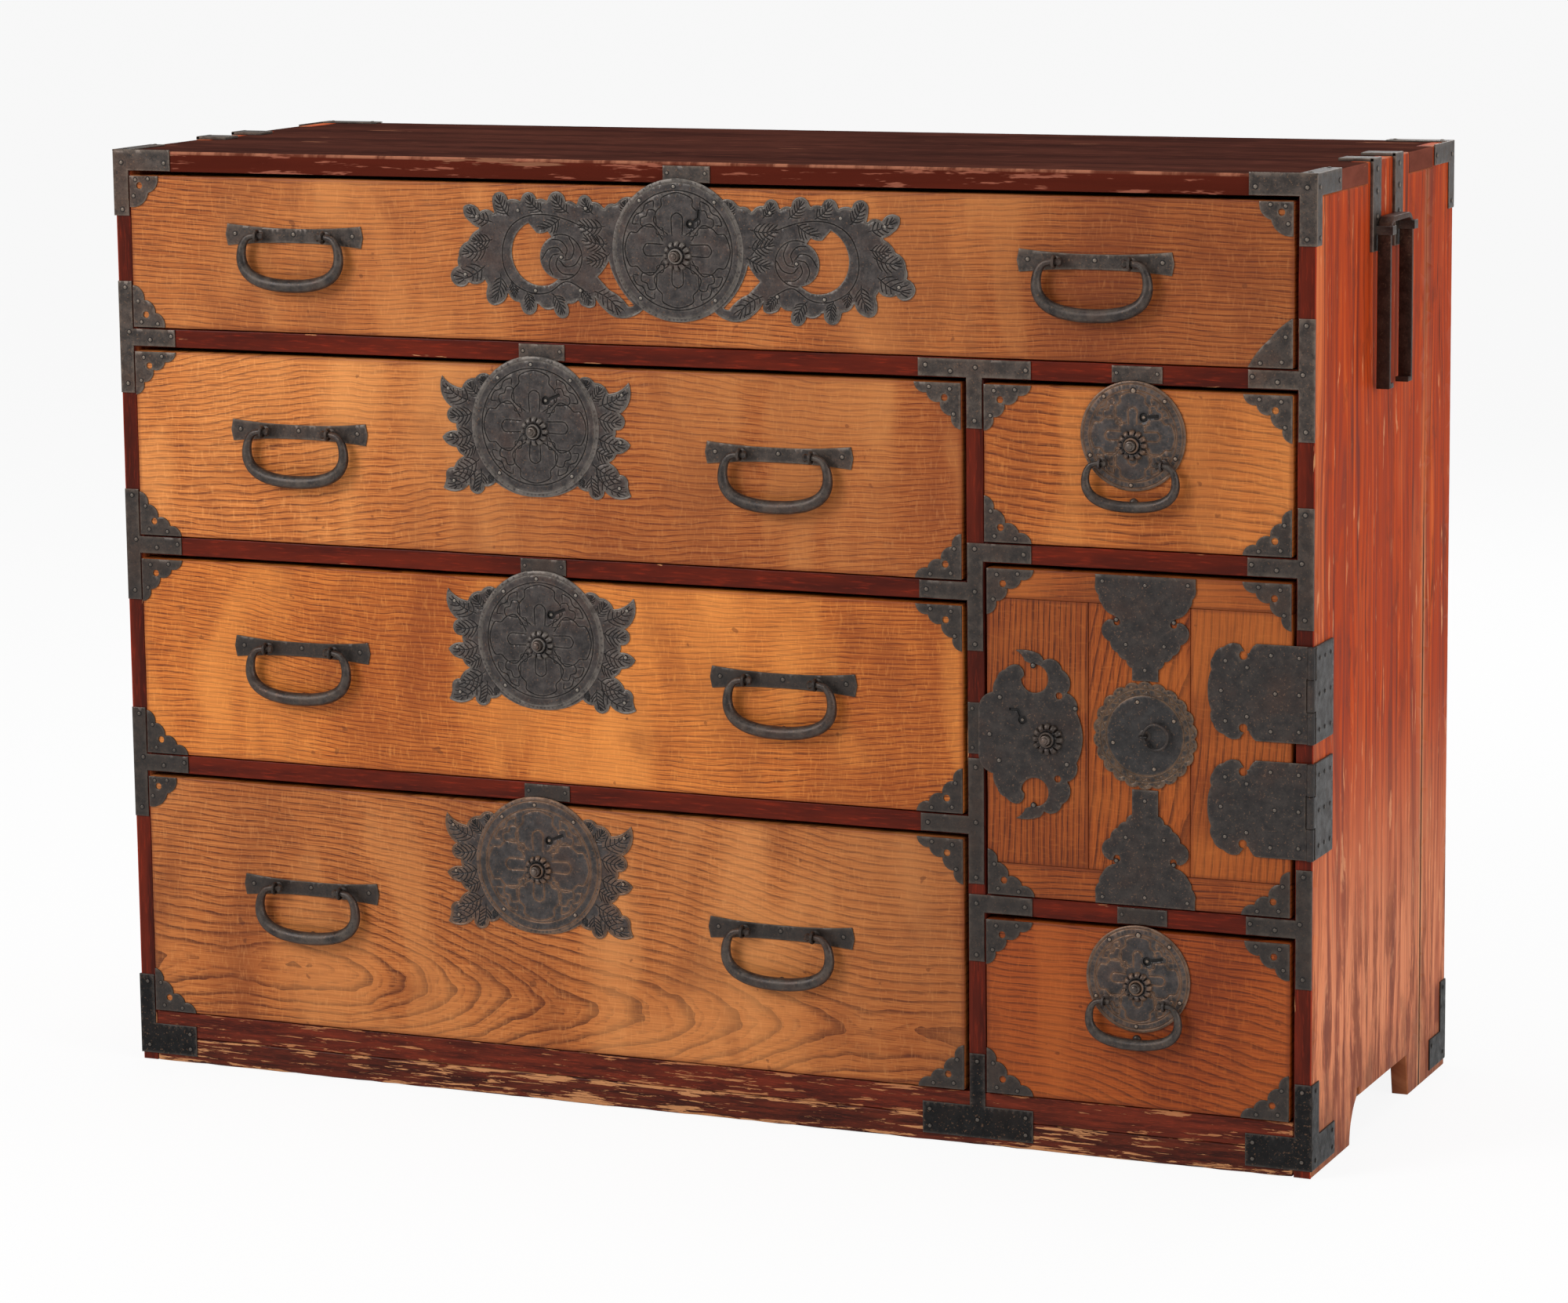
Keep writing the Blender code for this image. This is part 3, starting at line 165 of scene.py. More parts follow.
HINGE_HALF = 43.5
HINGE_KNUCKLE_R = 3.5
HINGE_Y = FRONT - FIT - HINGE_KNUCKLE_R
HINGE_X = HALF_W + FIT + 2 - HINGE_KNUCKLE_R

# Outlines as (u, v, swell) in shares of a size; swell bows the stretch to the next corner outwards.
WING_ROWS = (
    (0, 66, 0.21), (-46.5, 46.7, 0.4), (-61, 44.2, 0), (-62, 43.5, 0.35), (-75.5, 34.2, 0),
    (-76.5, 33.7, -0.2), (-96.5, 44.7, 0.36), (-88.5, 16.2, 0), (-86.5, 15.7, 0.95), (-82.5, 0.2, 0.2),
    (-81.5, -6.3, 0), (-82, -6.8, 0.28), (-97.5, -13.3, 0.3), (-83.5, -22.3, 0), (-82.5, -23, 0.25),
    (-75, -30.3, 0), (-77, -31.5, 0.2), (-85.5, -40.8, 0), (-86, -41.5, 0.5), (-94.5, -50, 0),
    (-94.3, -52, -0.1), (-97.5, -61.3, 0.38), (-70.5, -57.3, 0), (-70, -58.3, 1), (-54, -57.5, 0),
    (-53.5, -58.5, 0.25), (-42.5, -53.8, 0.17), (0, -66, 0),
)
LONG_WING_ROWS = (
    (0, 66, 0.19), (-45, 47, 0.35), (-60, 42.5, 0), (-63, 41, 0.35), (-73.5, 37, 0), (-75, 37.5, 0.3),
    (-86, 42.5, 0), (-87, 44, 0.8), (-100.5, 42.5, 0), (-102, 39.5, 0.3), (-113, 42, 0),
    (-113.5, 43.5, 0.85), (-131, 44.5, 0), (-132.5, 42.5, 0.25), (-143, 43.5, 0), (-143.5, 44.5, 0.8),
    (-158.5, 44, 0), (-159.5, 41.5, 0.25), (-172.5, 42.5, 0), (-173, 44, 0.75), (-188.5, 44, 0.1),
    (-186.5, 30.5, 0), (-187.5, 30, 0.4), (-201.5, 31, 0), (-202.5, 32.5, 0.45), (-218.5, 35.5, 0.35),
    (-213, 22, 0.15), (-202.5, 16, 0), (-203.5, 14.5, 0.2), (-214, 4, 0), (-215, 3, 0.3),
    (-224.5, -8.5, 0), (-224.5, -10.5, 0.25), (-225, -20, 0), (-226, -20.5, 0.35),
    (-233.5, -30.5, 0.35), (-224, -39.5, 0.3), (-215.5, -36, 0), (-215, -35, 0.3), (-199.5, -34, 0),
    (-198, -32, 0), (-195, -36.5, 0), (-195.5, -39.5, 0.15), (-196, -50.5, 0.45), (-184, -55, 0.3),
    (-174.5, -44, 0), (-173.5, -44.5, 0.3), (-163, -52, 0), (-161.5, -53, 0.15), (-158, -61.5, 0.4),
    (-147, -61.5, 0.3), (-144.5, -53, 0), (-142, -53.5, 0.35), (-128, -57.5, 0), (-127, -57, 0.2),
    (-123, -64, 0.45), (-112.5, -63, 0.25), (-113.5, -52.5, 0), (-112, -52, 0.25), (-102, -48.5, 0),
    (-101, -49.5, 0.3), (-95, -54.5, 0.3), (-85, -53.5, 0.2), (-85, -45, 0.12), (-74, -57.5, 0.2),
    (-58, -64, 0.2), (-36, -55.5, 0.14), (0, -66, 0),
)
CRESCENT_ROWS = (
    (-2.3, 0.33, 0.9), (-2, -0.54, 0.1), (-1.85, -0.45, -0.77), (-1.94, 0.14, 0), (-2, 0.22, -0.2),
    (-2.17, 0.19, 0), (-2.3, 0.33, 0),
)
SICKLE_ROWS = (
    (-1.06, -0.17, -0.1), (-1.24, -0.4, 0), (-1.06, -0.58, -0.15), (-0.77, -0.8, 0.3), (-0.68, -0.78, -0.16),
    (-1.06, -0.17, 0),
)
DOOR_PLATE_ROWS = (
    (1, 0, 0.12), (0.94, 0.23, 0.45), (0.85, 0.405, 0.5), (0.8, 0.615, 0.55), (0.63, 0.69, 0.1),
    (0.59, 0.745, 0.15), (0.36, 0.77, -0.2), (0.45, 0.675, 0), (0.52, 0.65, -2.5), (0.41, 0.505, 0),
    (0.44, 0.54, 0.3), (0.39, 0.635, 0.3), (0.26, 0.585, 0.3), (0.18, 0.505, 0.2), (0.14, 0.375, 0.35),
    (0, 0.215, 0), (0, 0, 0),
)
ORNAMENT_ROWS = (
    (-1, 0, 0), (-1, -0.17, 0.3), (-0.93, -0.4, 0.25), (-0.87, -0.57, 0.25), (-0.62, -0.78, 0),
    (-0.55, -0.83, -2.7), (-0.63, -0.87, 0), (-0.7, -0.85, 0.8), (-0.7, -1.28, 0.35), (-0.55, -1.49, 0.35),
    (-0.38, -1.62, 0.35), (-0.26, -1.77, 0),
)
HINGE_ROWS = (
    (-1.1, 1, 0.15), (-1.25, 0.8, 0), (-1.29, 0.79, -4), (-1.36, 0.84, 0), (-1.45, 0.97, 0.3),
    (-1.79, 0.9, 0.3), (-2.01, 0.7, 0.3), (-2.05, 0.42, 0.12), (-2.13, 0, 0),
)
CORNER_IRONS = {
    "four": (45, ((1, 0, 0.45), (0.73, 0.21, 0.45), (0.44, 0.39, 0.45), (0.2, 0.66, 0.45), (0, 0.93, 0))),
    "two": (31, ((1, 0, 0.4), (0.65, 0.52, 0.4), (0, 0.97, 0))),
    "three": (40, ((0.85, 0, 0.45), (0.6, 0.35, 0.45), (0.3, 0.65, 0.45), (0, 1, 0))),
    "plain": (44, ((0.93, 0, 0.1), (0.5, 0.55, 0.1), (0, 1, 0))),
    "wide": (42, ((1, 0, 0.45), (0.66, 0.3, 0.45), (0.32, 0.55, 0.45), (0, 0.79, 0))),
}
CORNERS = {
    "top": ("three", "plain", "two", "two"),
    "left_upper": ("four", "four", "four", "four"),
    "left_middle": ("four", "four", "four", "four"),
    "left_lower": ("four", "four", "two", "four"),
    "right_upper": ("four", "four", "four", "four"),
    "right_lower": ("four", "four", "four", "wide"),
    "door": ("four", "four", "four", "four"),
}
# A nail head's rings: shares of its radius and height, and how worn each is; the lowest values paint shade in
# the sunk rim, the highest a painted highlight on the rubbed dome.
NAIL_SHARES = (
    (1.5, -0.5, -0.9), (1.45, 0.22, -0.9), (1.06, 0.26, -0.9),
    (0.98, 0.5, 0.6), (0.76, 0.85, 1.5), (0.38, 1, 1.5),
)
# The engraved flower as (degrees, share of the plate's radius): a petal and its stamens are turned from the
# petal's middle, and the scrolls from halfway between two petals.
PETAL = (
    (-33, 0.27), (-42, 0.42), (-41, 0.54), (-30, 0.62), (-21, 0.66), (-17, 0.76), (0, 0.8), (17, 0.76),
    (21, 0.66), (30, 0.62), (41, 0.54), (42, 0.42), (33, 0.27),
)
STAMENS = ((-19, 0.24), (-11, 0.45), (-6, 0.5), (0, 0.52), (6, 0.5), (11, 0.45), (19, 0.24))
SCROLLS = (
    ((2, 0.46), (10, 0.56), (13, 0.64), (7, 0.7), (0, 0.66)),
    ((4, 0.3), (9, 0.38), (3, 0.42)),
    ((15, 0.71), (17, 0.77), (8, 0.79), (2, 0.75)),
)

ARC_ERROR = 0.12
EDGE_STEP = 1.6
EDGE_ROUND = 0.5
GROOVE_HALF = 0.75
GROOVE_DEPTH = 0.6
HAMMER_SCALE = 0.11
HAMMER_DEPTH = 0.12
PLATE_LEAST = 0.15
LIP = 0.3
LIP_WEAR = 0.4
RIM_WEAR = 1.2
GROOVE_DIRT = 0.9
RUB_WEAR = 1.9


def arc_path(rows, size):
    """Points along rows of (u, v, swell) in shares of a size, with an arc where a stretch swells."""
    points = []
    for (u, v, swell), (end_u, end_v, _) in zip(rows, rows[1:]):
        start = Vector((u, v)) * size
        half = (Vector((end_u, end_v)) * size - start) / 2
        points.append(start)
        angle = 4 * math.atan(swell)
        if not swell:
            continue
        radius = half.length / math.sin(abs(angle) / 2)
        count = math.ceil(abs(angle) / (2 * math.acos(1 - min(ARC_ERROR / radius, 1))))
        middle = start + half + Vector((half.y, -half.x)) * (swell - 1 / swell) / 2
        for step in range(1, count):
            points.append(middle + Matrix.Rotation(angle * step / count, 2) @ (start - middle))
    points.append(Vector(rows[-1][:2]) * size)
    return points


def turns_of(count):
    return [math.tau * i / count for i in range(count)]


def circle(radius, sides=40, u=0, v=0):
    return [(u + math.cos(turn) * radius, v + math.sin(turn) * radius) for turn in turns_of(sides)]


def closed_circle(radius, sides=40, u=0, v=0):
    ring = circle(radius, sides, u, v)
    return ring + ring[:1]


def rectangle(left, right, low, high):
    return [(left, low), (right, low), (right, high), (left, high)]


def moved(points, u, v):
    return [(point[0] + u, point[1] + v) for point in points]


def flipped(points, u, v):
    return [(point[0] * u, point[1] * v) for point in points]


def mirrored(points, u, v):
    """An open half outline followed by its mirror image, without repeating points on the mirror line."""
    same = ARC_ERROR / 9
    other = [p for p in reversed(flipped(points, u, v)) if (Vector(p) - Vector(points[-1])).length > same]
    if (Vector(other[-1]) - Vector(points[0])).length < same:
        other.pop()
    return [tuple(p) for p in points] + other


def normals_of(run):
    """Unit vectors to the left of many short runs."""
    left = np.stack((-run[:, 1], run[:, 0]), 1)
    return left / np.maximum(np.linalg.norm(run, axis=1, keepdims=True), 1e-9)


def ring_normals(ring):
    return normals_of(np.roll(ring, -1, axis=0) - np.roll(ring, 1, axis=0))


def spread(points, step, closed=True):
    """The same line with no two points further apart than a step."""
    ring = np.array([tuple(p) for p in points], float)
    ends = np.roll(ring, -1, axis=0) if closed else ring[1:]
    made = []
    for start, end in zip(ring, ends):
        count = max(1, math.ceil(np.linalg.norm(end - start) / step))
        made += [start + (end - start) * i / count for i in range(count)]
    if not closed:
        made.append(ring[-1])
    return np.array(made)


def curved(points, step=1.2):
    """A smooth line through a few points."""
    dots = [Vector(p) for p in points]
    dots = [dots[0] * 2 - dots[1]] + dots + [dots[-1] * 2 - dots[-2]]
    made = []
    for a, b, c, d in zip(dots, dots[1:], dots[2:], dots[3:]):
        count = max(2, math.ceil((c - b).length / step))
        for i in range(count):
            t = i / count
            bend = 2 * b + (c - a) * t + (2 * a - 5 * b + 4 * c - d) * t**2
            made.append(0.5 * (bend + (3 * b - a - 3 * c + d) * t**3))
    return made + [dots[-2]]


def segments(lines, closed):
    starts, ends = [], []
    for line in lines:
        line = np.asarray([tuple(p) for p in line], float)
        starts.append(line if closed else line[:-1])
        ends.append(np.roll(line, -1, axis=0) if closed else line[1:])
    return np.concatenate(starts), np.concatenate(ends)


def distance(points, starts, ends):
    """How far each point lies from the nearest of many short segments."""
    tree = kdtree.KDTree(len(starts))
    for i, (u, v) in enumerate(((starts + ends) / 2).tolist()):
        tree.insert((u, v, 0), i)
    tree.balance()
    most = min(4, len(starts))
    near = np.array([[hit[1] for hit in tree.find_n((u, v, 0), most)] for u, v in points.tolist()])
    if not len(near):
        return np.zeros(0)
    offset = points[:, None] - starts[near]
    along = ends[near] - starts[near]
    share = np.clip((offset * along).sum(2) / np.maximum((along**2).sum(2), 1e-12), 0, 1)
    return np.sqrt(((offset - share[..., None] * along) ** 2).sum(2).min(1))


def within(points, starts, ends):
    """Whether each point is inside the rings that these segments make."""
    inside = np.zeros(len(points), bool)
    for first in range(0, len(points), 4000):
        block = points[first:first + 4000]
        u, v = block[:, :1], block[:, 1:]
        spans = (starts[:, 1] > v) != (ends[:, 1] > v)
        run, rise = (ends - starts).T
        crossing = starts[:, 0] + (v - starts[:, 1]) * run / np.where(rise == 0, 1, rise)
        inside[first:first + 4000] = (spans & (u < crossing)).sum(1) % 2 == 1
    return inside


def front_at(y, x=0, z=0):
    """Stands a flat drawing up as a face towards the viewer."""
    return Matrix(((1, 0, 0, x), (0, 0, -1, y), (0, 1, 0, z), (0, 0, 0, 1)))


def side_at(side, x, z=0):
    """Stands a drawing of (depth, height) on the left (-1) or right (1) side."""
    return Matrix(((0, 0, side, side * x), (1, 0, 0, 0), (0, 1, 0, z), (0, 0, 0, 1)))


def top_at(z):
    return Matrix.Translation((0, 0, z))


def finished(name, work):
    """Makes an object of a mesh drawn in millimetres in the case's own frame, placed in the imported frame."""
    bmesh.ops.remove_doubles(work, verts=work.verts, dist=0.002)
    bmesh.ops.dissolve_degenerate(work, edges=work.edges, dist=0.0005)
    work.transform(Matrix.Translation((0, CASE_Y * MM, 0)) @ Matrix.Scale(MM, 4))
    bmesh.ops.recalc_face_normals(work, faces=work.faces)
    mesh = bpy.data.meshes.new(name)
    work.to_mesh(mesh)
    work.free()
    mesh.shade_smooth()
    mesh.set_sharp_from_angle(angle=38 * DEG)
    made = bpy.data.objects.new(name, mesh)
    bpy.context.scene.collection.objects.link(made)
    return made


def new_work():
    work = bmesh.new()
    work.verts.layers.float.new("worn")
    return work


def staggered(low, high, grid):
    """A net of points between two corners, with every other row moved by half a step."""
    rows = np.arange(low[1] + grid / 2, high[1], grid * 0.87)
    columns = np.arange(low[0] + grid / 4, high[0], grid)
    return np.array([(u + grid / 2 * (i % 2), v) for i, v in enumerate(rows) for u in columns]).reshape(-1, 2)


def thickened(work, flat, faces, height, wear, thick):
    """Makes a plate of triangles: its face at its heights, a flat back, and the walls between them."""
    worn = work.verts.layers.float["worn"]
    top, bottom = {}, {}
    for i in sorted(set(faces.ravel().tolist())):
        u, v = flat[i]
        top[i] = work.verts.new((u, v, max(height[i], PLATE_LEAST - thick)))
        top[i][worn] = float(wear[i])
        bottom[i] = work.verts.new((u, v, -thick))
    sides = set()
    for a, b, c in faces.tolist():
        work.faces.new((top[a], top[b], top[c]))
        work.faces.new((bottom[a], bottom[c], bottom[b]))
        sides |= {(a, b), (b, c), (c, a)}
    for a, b in sorted(sides):
        if (b, a) not in sides:
            work.faces.new((top[b], top[a], bottom[a], bottom[b]))


def relief(
    outlines, thick=IRON_T, grooves=(), rise=None, grid=5.0, edge_round=EDGE_ROUND, seed=0.0, rubbed=(),
):
    """A plate drawn in (u, v) with its face at w 0: V grooves, a rounded edge, a hammered face and a rise.

    Rubbed lines are grooves too, but they are worn bright instead of filled with dirt."""
    work = new_work()
    rings = [spread(ring, EDGE_STEP) for ring in outlines]
    starts, ends = segments(rings, True)
    dots = [np.concatenate(rings)]
    edges, count = [], 0
    for ring in rings:
        edges += [(count + i, count + (i + 1) % len(ring)) for i in range(len(ring))]
        count += len(ring)
    inner = []
    for ring in rings:
        side = ring_normals(ring)
        inner += [ring + side * edge_round, ring - side * edge_round]
    inner = np.concatenate(inner)
    lines = [spread(line, 1.0, False) for line in (*grooves, *rubbed)]
    if lines:
        groove_starts, groove_ends = segments(lines, False)
        sides = []
        for line in lines:
            side = normals_of(np.gradient(line, axis=0))
            sides += [line, line + side * GROOVE_HALF, line - side * GROOVE_HALF]
        inner = np.concatenate([inner] + sides)
    net = staggered(dots[0].min(0), dots[0].max(0), grid)
    if lines and len(net):
        net = net[distance(net, groove_starts, groove_ends) > GROOVE_HALF * 1.5]
    inner = np.concatenate((inner, net))
    inner = inner[within(inner, starts, ends) & (distance(inner, starts, ends) > edge_round * 0.8)]
    points = np.concatenate(dots + [inner])
    found = geometry.delaunay_2d_cdt([Vector(p) for p in points], edges, [], 0, 0.01, True)
    flat = np.array([tuple(p) for p in found[0]], float)
    faces = np.array([tuple(f) for f in found[2]], int)
    faces = faces[within(flat[faces].mean(1), starts, ends)]
    rim = distance(flat, starts, ends)
    height = -edge_round * 0.8 * np.clip(1 - rim / edge_round, 0, 1) ** 2
    if rise:
        height += np.array([rise(u, v) for u, v in flat]) * np.clip(rim / 2, 0, 1)
    groove, bright, lip = np.zeros(len(flat)), np.zeros(len(flat)), np.zeros(len(flat))
    if rubbed:
        bright = np.clip(1 - distance(flat, *segments(lines[len(grooves):], False)) / GROOVE_HALF, 0, 1)
    if lines:
        near = distance(flat, groove_starts, groove_ends)
        groove = np.clip(1 - near / GROOVE_HALF, 0, 1)
        lip = np.clip(1 - np.abs(near - GROOVE_HALF) / LIP, 0, 1) * LIP_WEAR
        height -= GROOVE_DEPTH * groove
    beaten = np.array([noise.noise((u * HAMMER_SCALE, v * HAMMER_SCALE, seed)) for u, v in flat])
    height += beaten * HAMMER_DEPTH * np.clip(rim / 2, 0, 1)
    wear = np.maximum(np.clip(1 - rim / RIM_WEAR, 0, 1), lip) - groove * GROOVE_DIRT + bright * RUB_WEAR
    thickened(work, flat, faces, height, wear, thick)
    return work


def poured(work, part):
    """Adds a mesh to another one and lets go of it."""
    mesh = bpy.data.meshes.new("draft")
    part.to_mesh(mesh)
    part.free()
    work.from_mesh(mesh)
    bpy.data.meshes.remove(mesh)


def stamp(work, part, place):
    """Adds a mesh drawn in a plane's own (u, v, w) to a mesh in the case's frame."""
    part.transform(place)
    poured(work, part)


def band(work, below, above):
    """Joins two rings of corners."""
    for i in range(len(below)):
        j = (i + 1) % len(below)
        work.faces.new((below[i], below[j], above[j], above[i]))


def tube(work, rings):
    """Joins a row of rings and caps both its ends."""
    for below, above in zip(rings, rings[1:]):
        band(work, below, above)
    work.faces.new(rings[0][::-1])
    work.faces.new(rings[-1])


def nail(work, u, v, radius=1.9, height=0.9):
    """A hand-made nail head on a drawing: a rim sunk round it, darkened with painted shade, and a domed head
    rubbed bright, with a painted highlight.
    """
    worn = work.verts.layers.float["worn"]
    lean = noise.noise((u * 0.7, v * 0.7, 3.1)) * 0.35
    rings = []
    # Each ring's worn value: painted shade in the sunk rim, and rubbed iron with a painted highlight on the
    # dome.
    for share, rise, rub in NAIL_SHARES:
        ring = []
        for i, turn in enumerate(turns_of(10)):
            turn += lean
            size = radius * share * (1 + 0.1 * noise.noise((u + i, v, share * 3)))
            tall = size * (1 - abs(lean) / 3)
            vert = work.verts.new((u + math.cos(turn) * size, v + math.sin(turn) * tall, rise * height))
            vert[worn] = rub
            ring.append(vert)
        rings.append(ring)
    tube(work, rings)


def nailed(work, spots, radius=1.9, height=0.9):
    for u, v in spots:
        nail(work, u, v, radius, height)


def piece(name, body, work, look, nodes=()):
    made = finished(name, work)
    made.data.materials.append(LOOKS[look])
    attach(made, body)
    if nodes:
        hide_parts(*nodes)
    return made


def rounded_block(low, high, bevel, count):
    """A block whose edges are rounded in a count of steps."""
    part = bmesh.new()
    place = Matrix.LocRotScale((Vector(high) + Vector(low)) / 2, None, Vector(high) - Vector(low))
    bmesh.ops.create_cube(part, size=1, matrix=place)
    rounding = {"offset": bevel, "segments": count, "profile": 0.5, "affect": "EDGES", "clamp_overlap": True}
    bmesh.ops.bevel(part, geom=part.edges[:], **rounding)
    return part


def board(work, low, high, bevel=1.4, wobble=0.35, step=28.0):
    """Adds a board with softly worn edges; corners are in millimetres, in the case's own frame."""
    size = Vector(high) - Vector(low)
    middle = (Vector(high) + Vector(low)) / 2
    part = rounded_block(low, high, bevel, 3)
    for axis in range(3):
        count = int(size[axis] // step)
        cuts = [low[axis] + size[axis] * i / (count + 1) for i in range(1, count + 1)]
        cuts += [low[axis] + bevel + 3, high[axis] - bevel - 3] if size[axis] > 4 * bevel + 8 else []
        for at in cuts:
            normal = Vector((0, 0, 0))
            normal[axis] = 1
            point = middle.copy()
            point[axis] = at
            everything = part.verts[:] + part.edges[:] + part.faces[:]
            bmesh.ops.bisect_plane(part, geom=everything, plane_co=point, plane_no=normal)
    layer = part.verts.layers.float.new("worn")
    for vert in part.verts:
        near = [min(vert.co[k] - low[k], high[k] - vert.co[k]) for k in range(3)]
        if sum(1 for gap in near if gap < bevel * 1.2) > 1:
            vert[layer] = 1
            lean = Vector(noise.noise_vector(vert.co * 0.045)) * wobble
            vert.co = Vector(max(a, min(b, c + d)) for a, b, c, d in zip(low, high, vert.co, lean))
    poured(work, part)


def lathe(work, profile, centre, axis="Y", sides=40, ripple=None, ring_shaped=False):
    """Adds a turned shape from (radius, height towards -Y or along Z), capped unless it is a ring."""
    worn = work.verts.layers.float["worn"]
    sense = {
        "Y": lambda a, b, h: (centre[0] + a, centre[1] - h, centre[2] + b),
        "Z": lambda a, b, h: (centre[0] + a, centre[1] + b, centre[2] + h),
    }[axis]
    rings = []
    for radius, height in profile:
        if radius < 0.01:
            rings.append([work.verts.new(sense(0, 0, height))])
            continue
        ring = []
        for turn in turns_of(sides):
            size, lift = ripple(radius, height, turn) if ripple else (radius, height)
            ring.append(work.verts.new(sense(math.cos(turn) * size, math.sin(turn) * size, lift)))
        rings.append(ring)
    for above, below in zip(rings, rings[1:] + (rings[:1] if ring_shaped else [])):
        for i in range(sides):
            j = (i + 1) % sides
            if len(above) == 1:
                work.faces.new((above[0], below[i], below[j]))
            elif len(below) == 1:
                work.faces.new((above[j], above[i], below[0]))
            else:
                work.faces.new((above[i], below[i], below[j], above[j]))
    for ring in (rings[0], rings[-1]):
        if len(ring) > 1 and not ring_shaped:
            work.faces.new(ring)
    for ring in rings:
        for vert in ring:
            vert[worn] = 0.25


def bar(work, points, sides=20, closed=False):
    """Adds a round bar along points of (x, y, z, radius), with caps unless it is a closed ring."""
    worn = work.verts.layers.float["worn"]
    places = [Vector(p[:3]) for p in points]
    total = len(points)
    rings, up = [], None
    for i, point in enumerate(places):
        before = places[i - 1] if closed or i else point
        after = places[(i + 1) % total] if closed or i < total - 1 else point
        along = (after - before).normalized()
        if up is None:
            up = along.orthogonal().normalized()
        up = (up - along * up.dot(along)).normalized()
        side = along.cross(up)
        ring = []
        for turn in turns_of(sides):
            vert = work.verts.new(point + (up * math.cos(turn) + side * math.sin(turn)) * points[i][3])
            vert[worn] = 0.2
            ring.append(vert)
        rings.append(ring)
    if closed:
        for below, above in zip(rings, rings[1:]):
            band(work, below, above)
        last, first = rings[-1], rings[0]
        shift = min(range(sides), key=lambda s: (last[0].co - first[s].co).length)
        band(work, last, first[shift:] + first[:shift])
    else:
        tube(work, rings)


def hoop(work, middle, across, up, thick, count, sides=12):
    """Adds a closed ring of round bar; across and up are its two half axes."""
    path = []
    for turn in turns_of(count):
        place = [m + math.cos(turn) * a + math.sin(turn) * b for m, a, b in zip(middle, across, up)]
        path.append((*place, thick))
    bar(work, path, sides, True)


def boxed(work, low, high, bevel=0.4):
    """Adds a small block with rounded edges."""
    part = rounded_block(low, high, bevel, 2)
    worn = part.verts.layers.float.new("worn")
    for vert in part.verts:
        vert[worn] = 0.15
    poured(work, part)


